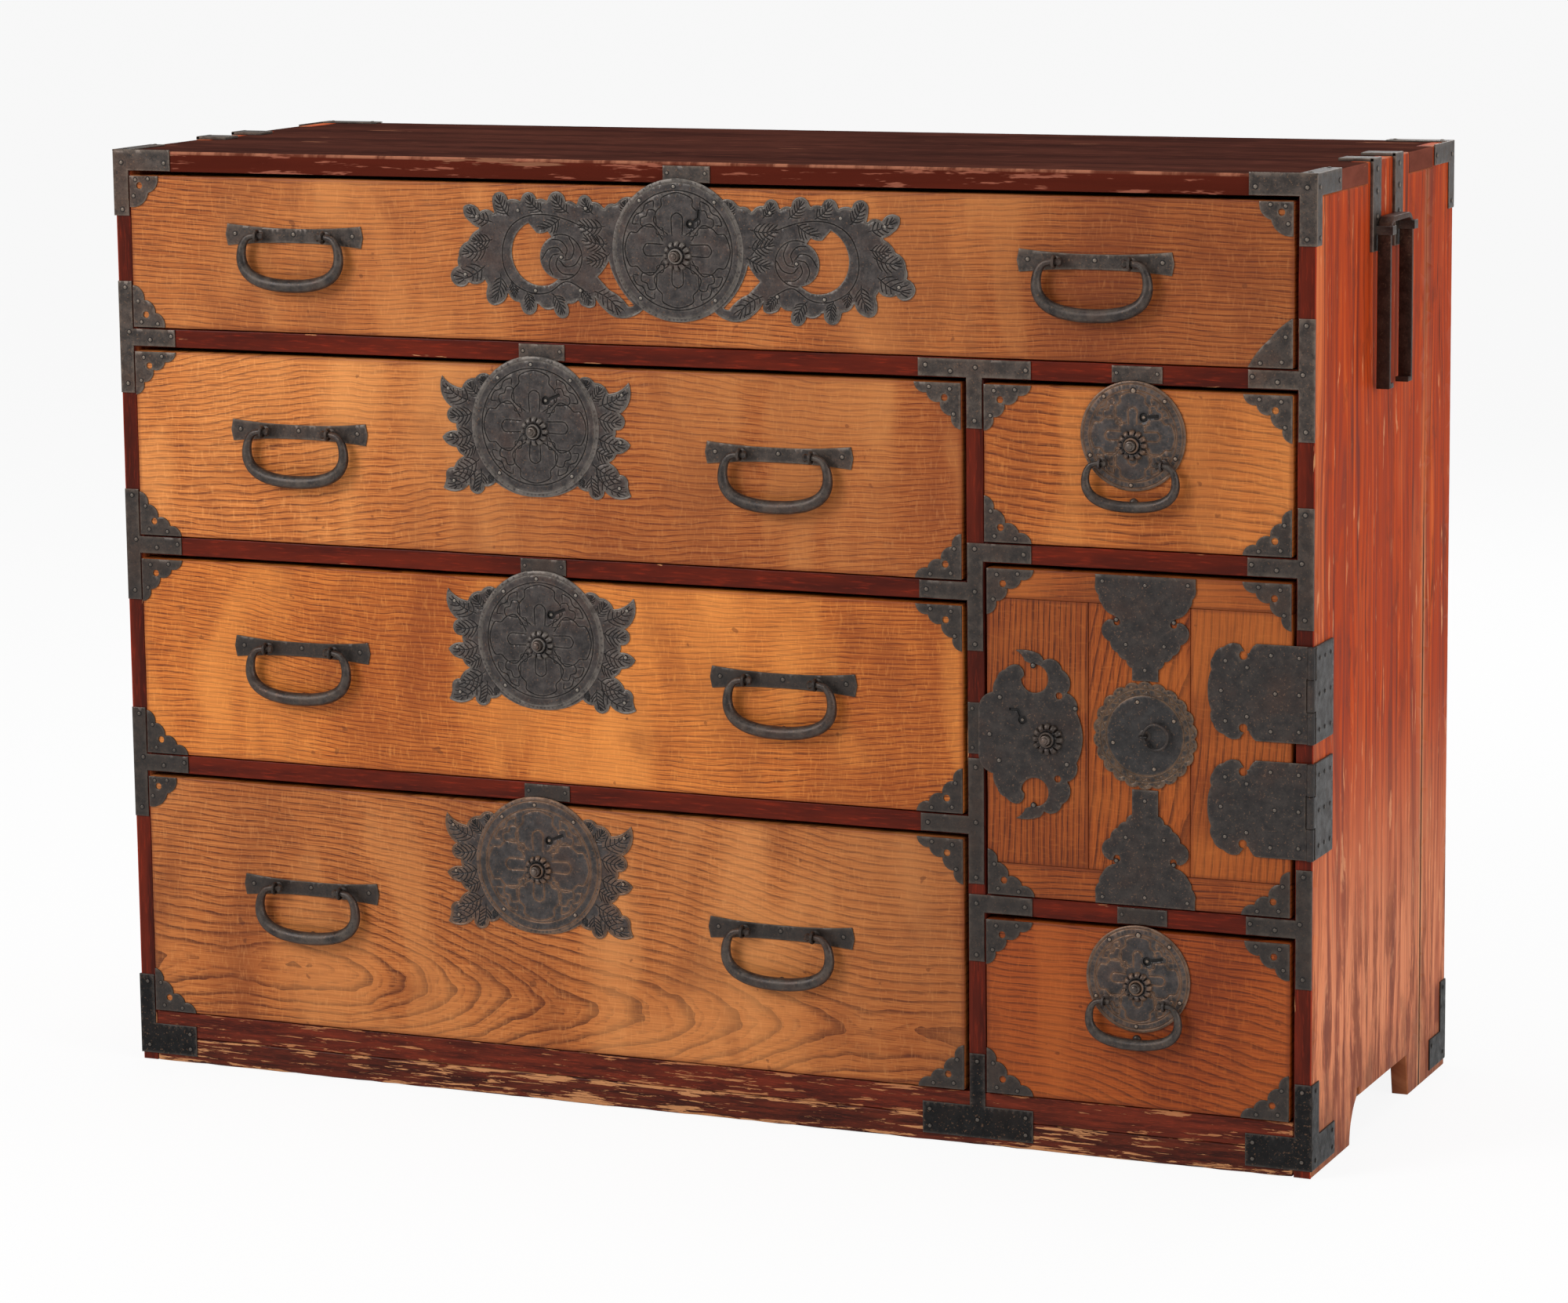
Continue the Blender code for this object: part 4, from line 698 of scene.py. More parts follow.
class Shade:
    """A small way to write a material's nodes: every call gives the socket it ends in."""

    def __init__(self, name):
        self.made = bpy.data.materials.new(name)
        self.made.use_nodes = True
        self.tree = self.made.node_tree
        self.shader = self.tree.nodes["Principled BSDF"]
        self.place = self.add("ShaderNodeTexCoord").outputs["Object"]

    def add(self, kind, **settings):
        node = self.tree.nodes.new(kind)
        for key, value in settings.items():
            setattr(node, key, value)
        return node

    def feed(self, socket, value):
        if isinstance(value, bpy.types.NodeSocket):
            self.tree.links.new(value, socket)
        else:
            socket.default_value = value

    def scaled(self, scale, location=(0, 0, 0)):
        node = self.add("ShaderNodeMapping")
        self.feed(node.inputs["Vector"], self.place)
        node.inputs["Scale"].default_value = scale
        node.inputs["Location"].default_value = location
        return node.outputs["Vector"]

    def cloud(self, vector, detail=3.0, rough=0.5, distortion=0.0):
        """Noise over a vector, or over the object's own place scaled by (x, y, z) and moved by (x, y, z)."""
        if isinstance(vector, tuple):
            vector = self.scaled(*vector)
        node = self.add("ShaderNodeTexNoise")
        self.feed(node.inputs["Vector"], vector)
        values = {"Scale": 1.0, "Detail": detail, "Roughness": rough, "Distortion": distortion}
        for key, value in values.items():
            node.inputs[key].default_value = value
        return node.outputs["Fac"]

    def math(self, operation, first, second=0.0, clamp=False):
        node = self.add("ShaderNodeMath", operation=operation, use_clamp=clamp)
        self.feed(node.inputs[0], first)
        self.feed(node.inputs[1], second)
        return node.outputs[0]

    def plus(self, first, second):
        return self.math("ADD", first, second)

    def minus(self, first, second):
        return self.math("SUBTRACT", first, second)

    def times(self, first, second, clamp=False):
        return self.math("MULTIPLY", first, second, clamp)

    def step(self, value, low, high, out_low=0.0, out_high=1.0):
        node = self.add("ShaderNodeMapRange", interpolation_type="SMOOTHSTEP")
        keys = ("Value", "From Min", "From Max", "To Min", "To Max")
        for key, item in zip(keys, (value, low, high, out_low, out_high)):
            self.feed(node.inputs[key], item)
        return node.outputs["Result"]

    def mix(self, share, first, second, blend="MIX"):
        node = self.add("ShaderNodeMix", data_type="RGBA", blend_type=blend)
        self.feed(node.inputs["Factor"], share)
        for key, value in (("A", first), ("B", second)):
            self.feed(next(s for s in node.inputs if s.name == key and s.type == "RGBA"), value)
        return next(s for s in node.outputs if s.type == "RGBA")

    def ramp(self, value, *stops):
        node = self.add("ShaderNodeValToRGB")
        for _ in stops[2:]:
            node.color_ramp.elements.new(0.5)
        for element, (at, colour) in zip(node.color_ramp.elements, stops):
            element.position = at
            element.color = rgb(*colour)
        self.feed(node.inputs["Fac"], value)
        return node.outputs["Color"]

    def parts(self, vector):
        node = self.add("ShaderNodeSeparateXYZ")
        self.feed(node.inputs[0], vector)
        return node.outputs

    def joined(self, x, y, z):
        node = self.add("ShaderNodeCombineXYZ")
        for socket, value in zip(node.inputs, (x, y, z)):
            self.feed(socket, value)
        return node.outputs[0]

    def bands(self, level, scale):
        """Saw-toothed bands that follow a value."""
        node = self.add("ShaderNodeTexWave", wave_type="BANDS", bands_direction="X", wave_profile="SAW")
        self.feed(node.inputs["Vector"], self.joined(level, 0.0, 0.0))
        node.inputs["Scale"].default_value = scale
        return node.outputs["Fac"]

    def attribute(self, name):
        return self.add("ShaderNodeAttribute", attribute_name=name).outputs["Fac"]

    def coat(self, share, tint):
        """Lays a colour over what there is so far, by a share."""
        self.colour = self.mix(share, self.colour, tint)

    def patch(self, value, low, high, most, tint):
        """Lays a colour where a value runs from low to high, and at most by a share."""
        self.coat(self.step(value, low, high, 0.0, most), tint)

    def done(self, rough, height=None, depth=0.0004, strength=0.6, metallic=0.0, specular=0.5):
        self.feed(self.shader.inputs["Base Color"], self.colour)
        self.feed(self.shader.inputs["Roughness"], rough)
        self.feed(self.shader.inputs["Metallic"], metallic)
        self.shader.inputs["Specular IOR Level"].default_value = specular
        if height is not None:
            bump = self.add("ShaderNodeBump")
            bump.inputs["Strength"].default_value = strength
            bump.inputs["Distance"].default_value = depth
            self.feed(bump.inputs["Height"], height)
            self.feed(self.shader.inputs["Normal"], bump.outputs["Normal"])
        return self.made


def rgb(red, green, blue):
    """A colour read as on screen, 0 to 255, as linear numbers."""
    shares = (red / 255, green / 255, blue / 255)
    return (*(c / 12.92 if c <= 0.04045 else ((c + 0.055) / 1.055) ** 2.4 for c in shares), 1)


def toned(colour, factor):
    """A colour on screen made darker or lighter by a factor."""
    return rgb(*(min(255, c * factor) for c in colour))


def run_along(axis, length, depth, across):
    """Scales of a pattern whose length runs along X or Z."""
    return (length, depth, across) if axis == "X" else (across, depth, length)


def grain(shade, along, seed, heart, rings, waver):
    """Growth rings of a board whose length runs along an axis, with the pores that mark them.

    The heart is (its place across the board, how round the rings are there, how fast the arches close)."""
    shift = (seed * 1.37, seed * 0.71, seed * 2.13)
    middle, blunt, close = heart
    x, _, z = shade.parts(shade.place)
    across, length = (z, x) if along == "X" else (x, z)
    drift = shade.cloud((run_along(along, 2, 2, 3), shift), 1.0, 0.4)
    fine = shade.cloud((run_along(along, 13, 2, 24), shift), 3.0, 0.5)
    gap = shade.minus(across, middle)
    level = shade.math("SQRT", shade.plus(shade.times(gap, gap), blunt * blunt))
    level = shade.plus(level, shade.times(length, close))
    level = shade.plus(level, shade.times(shade.minus(drift, 0.5), waver))
    level = shade.plus(level, shade.times(shade.minus(fine, 0.5), waver * 0.11))
    late, between = shade.bands(level, rings), shade.bands(level, rings * 2.7)
    pore = shade.cloud((run_along(along, 46, 60, 700), shift), 2.0, 0.6)
    hair = shade.cloud((run_along(along, 46 * 0.16, 60, 700 * 1.5), shift), 2.0, 0.5)
    return late, between, pore, hair


def front_wood(name, along, seed, heart, rings, waver, tint, painted_shade_span=(0.0, 0.0, 0.0)):
    """Figured golden brown wood under worn lacquer, its rings, pores and a painted sheen of lighter and darker
    bands running along an axis.

    The last argument is (from where along X, to where, by what share) painted shade darkens the front towards
    the right."""
    shade = Shade(name)
    ring, between, pore, hair = grain(shade, along, seed, heart, rings, waver)

    def tone(*colour):
        return rgb(*(min(255, c * t) for c, t in zip(colour, tint)))

    shade.colour = shade.mix(shade.step(hair, 0.3, 0.7), tone(172, 100, 46), tone(206, 134, 72))
    late = shade.step(ring, 0.6, 0.97)
    broken = shade.step(pore, 0.3, 0.6, 0.64, 1.0)
    shade.coat(shade.times(shade.times(late, broken), 0.93, True), tone(86, 39, 16))
    thin = shade.times(shade.step(between, 0.5, 0.95), shade.step(pore, 0.42, 0.6, 0.1, 1.0))
    shade.coat(shade.times(thin, 0.62), tone(104, 52, 22))
    dash = shade.times(shade.step(pore, 0.56, 0.68), shade.step(ring, 0.2, 0.9, 0.2, 1.0))
    shade.coat(shade.times(dash, 0.55), tone(80, 36, 15))
    # Painted sheen: soft lighter and darker bands across the grain, then waves and a fine ripple, stand in for
    # light playing on the figured wood.
    band = shade.cloud((run_along(along, 5.5, 1, 1.8), (seed * 3.1, 0, seed)), 3.0, 0.55, 0.5)
    shade.patch(band, 0.48, 0.72, 0.5, tone(232, 168, 104))
    shade.patch(band, 0.5, 0.3, 0.55, tone(126, 62, 24))
    wave = shade.cloud((run_along(along, 11, 2, 4.5), (seed * 1.7, 0, seed)), 2.0, 0.5, 0.6)
    shade.patch(wave, 0.53, 0.68, 0.3, tone(228, 164, 100))
    shade.patch(wave, 0.47, 0.34, 0.3, tone(120, 60, 24))
    sheen_ripple = shade.cloud((run_along(along, 420, 20, 90), (seed, 0, 0)), 2.0, 0.55, 0.4)
    shade.patch(sheen_ripple, 0.5, 0.78, 0.26, tone(236, 174, 110))
    stain = shade.cloud(((9, 9, 9), (seed, seed, 0)), 4.0, 0.6)
    shade.patch(stain, 0.56, 0.8, 0.5, tone(112, 56, 24))
    mark = shade.cloud(((70, 70, 70), (seed, 0, 0)), 2.0, 0.5)
    shade.patch(mark, 0.735, 0.77, 0.5, tone(84, 42, 22))
    shade.coat(shade.times(shade.attribute("worn"), 0.5, True), tone(122, 62, 28))
    # Painted shade: the front darkens towards the right, where the light falls off.
    shade.patch(shade.parts(shade.place)[0], painted_shade_span[0], painted_shade_span[1] + 0.001, painted_shade_span[2], tone(98, 38, 10))
    rough = shade.step(hair, 0.3, 0.7, 0.42, 0.56)
    height = shade.minus(shade.times(late, -0.3), shade.times(dash, 0.7))
    return shade.done(rough, height, 0.0003, 0.5, specular=0.2)


def lacquer(name, seed, base, dark, wood, chips, streak=(6, 60, 60), shine=0.09, edge=None):
    """Red-brown lacquer over bare wood, chipped in small flakes and along worn streaks.

    Edge is the colour of the top board's front edge, where that differs."""
    shade = Shade(name)
    tone = shade.cloud((streak, (seed, seed * 2, 0)), 4.0, 0.6, 0.3)
    shade.colour = shade.mix(shade.step(tone, 0.3, 0.72), rgb(*dark), rgb(*base))
    fine = shade.cloud((tuple(s * 7 for s in streak), (seed, 0, 0)), 3.0, 0.6)
    shade.patch(fine, 0.5, 0.8, 0.35, toned(base, 1.7))
    flake = shade.cloud((tuple(s * 2.2 for s in streak), (0, seed, seed)), 4.0, 0.62, 0.4)
    near = shade.times(shade.math("MAXIMUM", shade.attribute("worn"), 0.0), 0.07)
    gather = shade.cloud(((8, 8, 12), (seed, 0, 5)), 2.0, 0.5)
    near = shade.plus(near, shade.times(shade.minus(gather, 0.5), 0.3))
    chip = shade.step(shade.plus(flake, near), 0.79 - chips * 0.2, 0.81 - chips * 0.2)
    x, y, z = shade.parts(shade.place)
    # Painted light: the ends that face sideways are lightened to a paler copy of the lacquer.
    end = shade.step(shade.math("ABSOLUTE", x), *END_X, 0.0, 0.75)
    shade.coat(end, shade.mix(tone, toned(base, 1.3), toned(base, 1.9)))
    if edge:
        front = shade.step(y, *TOP_FRONT_Y)
        shade.coat(front, shade.mix(tone, toned(edge, 0.66), rgb(*edge)))
        arris = shade.times(shade.step(y, *ARRIS_Y), shade.step(z, *ARRIS_Z))
        rubs = shade.cloud(((26, 5, 5), (seed, 0, 2)), 5.0, 0.7)
        shade.coat(shade.times(arris, shade.step(rubs, 0.42, 0.58, 0.12, 0.75)), rgb(172, 112, 86))
        scuff = shade.cloud(((16, 5, 150), (seed, 7, 2)), 4.0, 0.65)
        scuff = shade.times(front, shade.step(scuff, 0.57, 0.63, 0.0, 0.7))
        shade.coat(scuff, rgb(158, 94, 74))
    shade.coat(chip, shade.mix(fine, rgb(*wood), toned(wood, 0.72)))
    rough = shade.step(chip, 0.0, 1.0, 0.33, 0.75)
    height = shade.minus(shade.times(fine, 0.4), chip)
    return shade.done(rough, height, 0.0005, 0.6, specular=shine)


def side_wood(name, seed):
    """Softwood boards stained red-brown, the grain upright, with dark streaks, runs and rubbed places."""
    shade = Shade(name)
    x, y, z = shade.parts(shade.place)
    slow = shade.cloud(((3, 9, 1.1), (seed, seed, seed)), 3.0, 0.5, 0.4)
    bent = shade.plus(y, shade.times(shade.minus(slow, 0.5), 0.1))

    def upright(wide, tall):
        return shade.joined(shade.times(x, 3.0), shade.times(bent, wide), shade.times(z, tall))

    streaks = shade.cloud(upright(150.0, 1.7), 4.0, 0.62)
    shade.colour = shade.ramp(
        streaks, (0.3, (112, 32, 8)), (0.45, (156, 52, 13)), (0.58, (182, 66, 19)), (0.76, (214, 102, 46)),
    )
    broad = shade.cloud(((5, 11, 2.2), (0, seed, seed)), 4.0, 0.6)
    shade.patch(broad, 0.5, 0.72, 0.6, rgb(112, 42, 22))
    shade.patch(broad, 0.48, 0.28, 0.5, rgb(208, 108, 60))
    run = shade.cloud(upright(95.0, 5.0), 5.0, 0.7)
    shade.patch(run, 0.56, 0.68, 0.8, rgb(84, 34, 19))
    blot = shade.cloud(((20, 26, 14), (0, seed, 3)), 5.0, 0.68)
    shade.patch(blot, 0.54, 0.7, 0.6, rgb(104, 42, 22))
    rub = shade.cloud(upright(140.0, 16.0), 4.0, 0.65)
    lower = shade.step(z, 0.5, 0.05, 0.0, 0.07)
    shade.patch(shade.plus(rub, lower), 0.62, 0.7, 0.62, rgb(228, 156, 110))
    bared = shade.times(shade.step(z, 0.42, 0.12), shade.step(streaks, 0.36, 0.56, 0.3, 0.85))
    shade.coat(bared, rgb(224, 146, 106))
    rubbed = shade.times(shade.step(y, -0.165, -0.2, 0.0, 0.5), shade.step(streaks, 0.4, 0.6, 0.3, 1.0))
    shade.coat(rubbed, rgb(226, 136, 84))
    foot = shade.plus(z, shade.times(shade.minus(blot, 0.5), 0.3))
    shade.patch(foot, 0.12, 0.0, 0.6, rgb(70, 40, 30))
    soil = shade.cloud(upright(70.0, 9.0), 5.0, 0.7)
    soil = shade.times(shade.step(soil, 0.48, 0.6, 0.0, 0.8), shade.step(foot, 0.34, 0.1))
    shade.coat(soil, rgb(116, 54, 36))
    crook = shade.cloud(((5, 5, 9), (seed, 1, 0)), 3.0, 0.6)
    gap = shade.plus(shade.minus(y, SEAM_Y), shade.times(shade.minus(crook, 0.5), 0.006))
    gap = shade.math("ABSOLUTE", gap)
    low = shade.step(z, 0.6, 0.5, 0.25, 1.0)
    beside = shade.times(shade.step(gap, 0.0085, 0.0034, 0.0, 0.75), shade.times(low, run))
    shade.coat(beside, rgb(232, 170, 124))
    shade.coat(shade.times(shade.step(gap, 0.0034, 0.0016, 0.0, 0.95), low), rgb(44, 18, 12))
    edge = shade.attribute("worn")
    shade.coat(shade.times(edge, 0.5, True), rgb(196, 124, 80))
    shade.patch(edge, -0.1, -0.7, 0.9, rgb(30, 14, 10))
    rough = shade.step(streaks, 0.3, 0.7, 0.55, 0.7)
    return shade.done(rough, shade.plus(streaks, shade.times(run, -0.6)), 0.0006, 0.6, specular=0.08)


def plain_wood(name, light, dark, seed):
    """Unfinished softwood of the parts inside and behind."""
    shade = Shade(name)
    facing = shade.add("ShaderNodeTexCoord").outputs["Normal"]
    level = shade.step(shade.math("ABSOLUTE", shade.parts(facing)[2]), 0.4, 0.6)
    upright = shade.cloud(((2.2, 2.2, 150), (seed, 0, 0)), 4.0, 0.6)
    flat = shade.cloud(((2.2, 120, 2.2), (seed, 0, 0)), 4.0, 0.6)
    lines = shade.times(upright, shade.minus(1.0, level))
    lines = shade.plus(lines, shade.times(flat, level))
    shade.colour = shade.mix(shade.step(lines, 0.34, 0.68), rgb(*dark), rgb(*light))
    patch = shade.cloud(((4, 4, 4), (0, seed, 0)), 3.0, 0.5)
    shade.patch(patch, 0.5, 0.8, 0.4, rgb(*dark))
    return shade.done(shade.step(lines, 0.3, 0.7, 0.62, 0.8), lines, 0.0004, 0.5)


def iron(name, dark, pale, rust, metallic=0.55, glow=1.0, line=(122, 112, 104), darker_below=0.0):
    """Hand-forged iron under old lacquer: mottled, rusty in places, rubbed bright along its edges."""
    shade = Shade(name)
    mottle = shade.cloud(((95, 95, 95),), 5.0, 0.68)
    shade.colour = shade.mix(shade.step(mottle, 0.3, 0.74), rgb(*dark), rgb(*pale))
    broad = shade.cloud(((21, 21, 21), (3, 1, 7)), 4.0, 0.62)
    shade.patch(broad, 0.46, 0.72, 0.6, rgb(*rust))
    stained = shade.cloud(((34, 34, 34), (9, 4, 2)), 4.0, 0.65)
    shade.patch(stained, 0.5, 0.68, 0.4, toned(dark, 0.7))
    speck = shade.cloud(((520, 520, 520),), 2.0, 0.6)
    shade.patch(speck, 0.6, 0.72, 0.6, rgb(112, 84, 64))
    shade.patch(speck, 0.4, 0.3, 0.6, rgb(26, 24, 24))
    edge = shade.attribute("worn")
    bright = shade.times(shade.step(edge, 0.1, 0.8), shade.step(mottle, 0.36, 0.58, 0.45, 1.0))
    shade.coat(shade.times(bright, 0.9 * glow, True), rgb(*line))
    # The brightest worn places turn pale: rubbed lines, the keyhole pins painted pale as a highlight, and nail
    # domes, rubbed and given a painted highlight.
    shade.patch(edge, 1.05, 1.4, 0.55 * glow, rgb(146, 136, 124))
    x, _, z = shade.parts(shade.place)
    # Painted shade: irons on the outer side walls, below the top, are darkened.
    shaded_flank = shade.step(shade.math("ABSOLUTE", x), *SHADED_WALL_X, 0.0, 0.5)
    shaded_flank = shade.times(shaded_flank, shade.step(z, 0.81, 0.8))
    shade.coat(shaded_flank, toned(dark, 0.6))
    # The iron is made darker towards the bottom, by the share this argument gives.
    if darker_below:
        shade.patch(z, 0.7, 0.42, darker_below, toned(dark, 0.72))
    # Where worn runs below zero the iron turns nearly black: dirt in engraved grooves, and painted shade round
    # nail heads, at keyhole rims, in the rosette's gaps and on the plate behind each keyhole.
    shade.patch(edge, -0.05, -0.7, 0.9, rgb(14, 12, 11))
    rough = shade.step(mottle, 0.3, 0.75, 0.38, 0.58)
    height = shade.plus(shade.times(mottle, 0.8), shade.times(speck, 0.35))
    return shade.done(rough, height, 0.0006, 0.6, metallic=metallic, specular=0.5 if metallic > 0.3 else 0.12)


def opening_of(name):
    """Left, right, bottom and top of the opening that a drawer or the door fills."""
    rail_top = {rail: low + RAIL_T for rail, low in RAIL_Z.items()}
    return {
        "top": (-INSIDE_X, INSIDE_X, rail_top["top"], INSIDE_TOP),
        "left_upper": (-INSIDE_X, STILE_LEFT, rail_top["left_upper"], RAIL_Z["top"]),
        "left_middle": (-INSIDE_X, STILE_LEFT, rail_top["left_lower"], RAIL_Z["left_upper"]),
        "left_lower": (-INSIDE_X, STILE_LEFT, INSIDE_FLOOR, RAIL_Z["left_lower"]),
        "right_upper": (STILE_RIGHT, INSIDE_X, rail_top["right_upper"], RAIL_Z["top"]),
        "right_lower": (STILE_RIGHT, INSIDE_X, INSIDE_FLOOR, RAIL_Z["right_lower"]),
        "door": (STILE_RIGHT, INSIDE_X, rail_top["right_lower"], RAIL_Z["right_upper"]),
    }[name]


def front_of(name):
    left, right, low, high = opening_of(name)
    return left + (3 if name == "door" else 1), right - 3.5, low + 1, high - 4


def slab(outlines, low, high, bevel):
    """A flat shape with both its faces' edges rounded, drawn in (u, v), between two heights."""
    curve = bpy.data.curves.new("slab_draft", "CURVE")
    curve.dimensions = "2D"
    curve.fill_mode = "BOTH"
    curve.extrude = (high - low) / 2 - bevel
    curve.bevel_depth = bevel
    curve.bevel_resolution = 2
    curve.offset = -bevel
    for outline in outlines:
        spline = curve.splines.new("POLY")
        spline.points.add(len(outline) - 1)
        for point, (u, v) in zip(spline.points, outline):
            point.co = (u, v, 0, 1)
        spline.use_cyclic_u = True
    draft = bpy.data.objects.new("slab_draft", curve)
    bpy.context.scene.collection.objects.link(draft)
    mesh = bpy.data.meshes.new_from_object(draft.evaluated_get(bpy.context.evaluated_depsgraph_get()))
    bpy.data.objects.remove(draft)
    mesh.transform(Matrix.Translation((0, 0, (low + high) / 2)))
    work = new_work()
    work.from_mesh(mesh)
    bpy.data.meshes.remove(mesh)
    worn = work.verts.layers.float["worn"]
    for vert in work.verts:
        vert[worn] = 0.2
    return work


def keyhole(ring, *path, radius=3.9, half=1.2):
    """The outline of a round opening with a slot that runs on from it."""
    start = Vector(ring)
    run = [start] + [Vector(p) for p in path]
    angle = math.atan2(run[1].y - start.y, run[1].x - start.x)
    gap = math.asin(half / radius)
    turns = [angle + gap + (math.tau - 2 * gap) * i / 26 for i in range(27)]
    outline = [start + Vector((math.cos(t), math.sin(t))) * radius for t in turns]
    normals = [Vector((-(b - a).y, (b - a).x)).normalized() for a, b in zip(run, run[1:])]
    sides = []
    for i in range(1, len(run)):
        after = normals[i] if i < len(normals) else normals[i - 1]
        sides.append((normals[i - 1] + after) / (1 + normals[i - 1].dot(after)) * half)
    outline += [p - s for p, s in zip(run[1:], sides)]
    outline += [p + s for p, s in zip(reversed(run[1:]), reversed(sides))]
    return [tuple(p) for p in outline]


def shaded_rim(work, hole):
    """Darkens the rim of an opening with painted shade."""
    worn = work.verts.layers.float["worn"]
    verts = list(work.verts)
    near = distance(np.array([(v.co.x, v.co.y) for v in verts]), *segments([spread(hole, 1)], True))
    for vert, gap in zip(verts, near):
        if gap < 1.3:
            vert[worn] = min(vert[worn], -0.35)


def inset_lines(outline, gap, keep):
    """The line that follows an outline at a distance inside it, where keep says so."""
    ring = spread(outline, 1.5)
    starts, ends = segments([ring], True)
    side = ring_normals(ring)
    lines = []
    for sign in (1, -1):
        dots = ring + side * gap * sign
        good = within(dots, starts, ends) & (distance(dots, starts, ends) > gap * 0.93)
        good &= np.array([keep(u, v) for u, v in dots])
        line = []
        for dot, fine in zip(dots, good):
            if fine and (not line or np.linalg.norm(dot - line[-1]) < 4):
                line.append(dot)
            else:
                if len(line) > 3:
                    lines.append(line)
                line = [dot] if fine else []
        if len(line) > 3:
            lines.append(line)
    return lines


def polar(radius, rows, turn):
    """A smooth line through points of (degrees, share of a radius), turned by some degrees."""
    angles = [((angle + turn) * DEG, share * radius) for angle, share in rows]
    return curved([(math.cos(angle) * reach, math.sin(angle) * reach) for angle, reach in angles])


def flower_lines(radius):
    """The engraving of a lock plate: two rings, four petals with stamens, and scrolls between them."""
    lines = [closed_circle(radius * share, 90) for share in (0.94, 0.83)]
    for turn in (90, 180, 270, 360):
        lines += [polar(radius, PETAL, turn), polar(radius, STAMENS, turn)]
        for side in (-1, 1):
            lines += [polar(radius, flipped(scroll, side, 1), turn + 45) for scroll in SCROLLS]
    return lines


WING_LEAVES = (
    (-67, 22, -94, 39), (-57, 26, -68, 40), (-48, 34, -54, 46), (-64, 11, -90, 8), (-64, -8, -93, -13),
    (-61, -18, -81, -26), (-60, -34, -88, -44), (-62, -43, -93, -61), (-57, -44, -62, -64),
    (-48, -46, -48, -56),
)
LONG_LEAVES = (
    (-172, 28, -182, 48), (-137, 32, -152, 47), (-111, 32, -124, 48), (-86, 32, -94, 46),
    (-46, 30, -54, 46), (-190, 22, -215, 34), (-194, -2, -221, -6), (-190, 5, -211, 6),
    (-198, -20, -229, -33), (-181, -28, -188, -50), (-170, -34, -168, -48), (-154, -43, -152, -59),
    (-127, -44, -118, -62), (-99, -40, -90, -52), (-119, 26, -140, 16), (-84, -40, -58, -60),
    (-72, 4, -96, 10), (-70, -6, -92, -12), (-74, 20, -100, 22),
)
STEM = (
    (-74, -2), (-88, 14), (-108, 24), (-132, 29.5), (-154, 27.5), (-170, 17.5), (-178, 0.5),
    (-178, -17.5), (-170, -32.5), (-158, -40.5), (-144, -44), (-130, -41.5), (-114, -32), (-98, -38),
    (-84, -50), (-66, -58),
)
BUD = (-118, -9.2, 21)


def kept(lines, rings, gap):
    """The stretches of lines that lie inside a plate and clear of its edges."""
    starts, ends = segments([spread(ring, 1.5) for ring in rings], True)
    result = []
    for line in lines:
        dots = spread(line, 1.0, False)
        good = within(dots, starts, ends) & (distance(dots, starts, ends) > gap)
        run = []
        for dot, fine in zip(dots, good):
            if fine:
                run.append(dot)
            if run and (not fine or dot is dots[-1]):
                if len(run) > 2:
                    result.append(run)
                run = []
        if len(run) > 2:
            result.append(run)
    return result


def leaf_lines(base_u, base_v, tip_u, tip_v):
    """A leaf cut into a plate: its bent midrib and the strokes that fan out from it."""
    base, run = Vector((base_u, base_v)), Vector((tip_u - base_u, tip_v - base_v))
    side = Vector((-run.y, run.x))
    rib = lambda t: base + run * t + side * 0.1 * math.sin(math.pi * t)
    lines = [curved([tuple(rib(t)) for t in (0, 0.3, 0.6, 0.95)])]
    for k in range(5):
        t = 0.1 + 0.16 * k
        for turn in (-1, 1):
            reach = 0.3 * math.sin(math.pi * min(1, 0.35 + t * 0.7))
            bend = ((0, 0.03), (0.1, reach * 0.6), (0.24, reach))
            lines.append(curved([tuple(rib(t + along) + side * turn * out) for along, out in bend]))
    return lines


def wing_lines(name, outline, rings):
    """The lines of a wing: a rubbed contour inside its edge, and the cut leaves and bud within."""
    keep_out = LOCK_R * 1.04
    contour = inset_lines(outline, 1.9, lambda u, v: math.hypot(u, v) > keep_out)
    cuts = []
    for leaf in LONG_LEAVES if name == "top" else WING_LEAVES:
        cuts += leaf_lines(*leaf)
    if name == "top":
        cuts.append(curved(STEM))
        u, v, r = BUD
        cuts.append(closed_circle(r, 40, u, v))
        for turn in turns_of(6):
            arm = [(0.3 + turn + t * 1.9, r * (0.2 + 0.75 * t)) for t in (0, 0.35, 0.7, 1)]
            arm = [(math.cos(angle) * reach, math.sin(angle) * reach) for angle, reach in arm]
            cuts.append(curved(moved(arm, u, v)))
    cuts += [flipped(cut, -1, 1) for cut in cuts]
    return kept(cuts, rings, 2.6), contour


ROSETTE_ROWS = (
    (5, 0), (5, 5.2), (5.6, 5.8), (6.8, 5.7), (7.5, 4.8), (7.9, 3.6), (8.6, 3.9), (9.8, 4.7), (11.6, 4.4),
    (13, 3.4), (13.8, 1.8), (13.9, 0),
)


def rosette_ripple(radius, height, turn):
    share = max(0.0, min(1.0, (radius - 8) / 4))
    gap = (1 - abs(math.cos(turn * 6))) ** 2.2
    return radius * (1 - 0.16 * share * gap), height * (1 - 0.65 * share * gap)


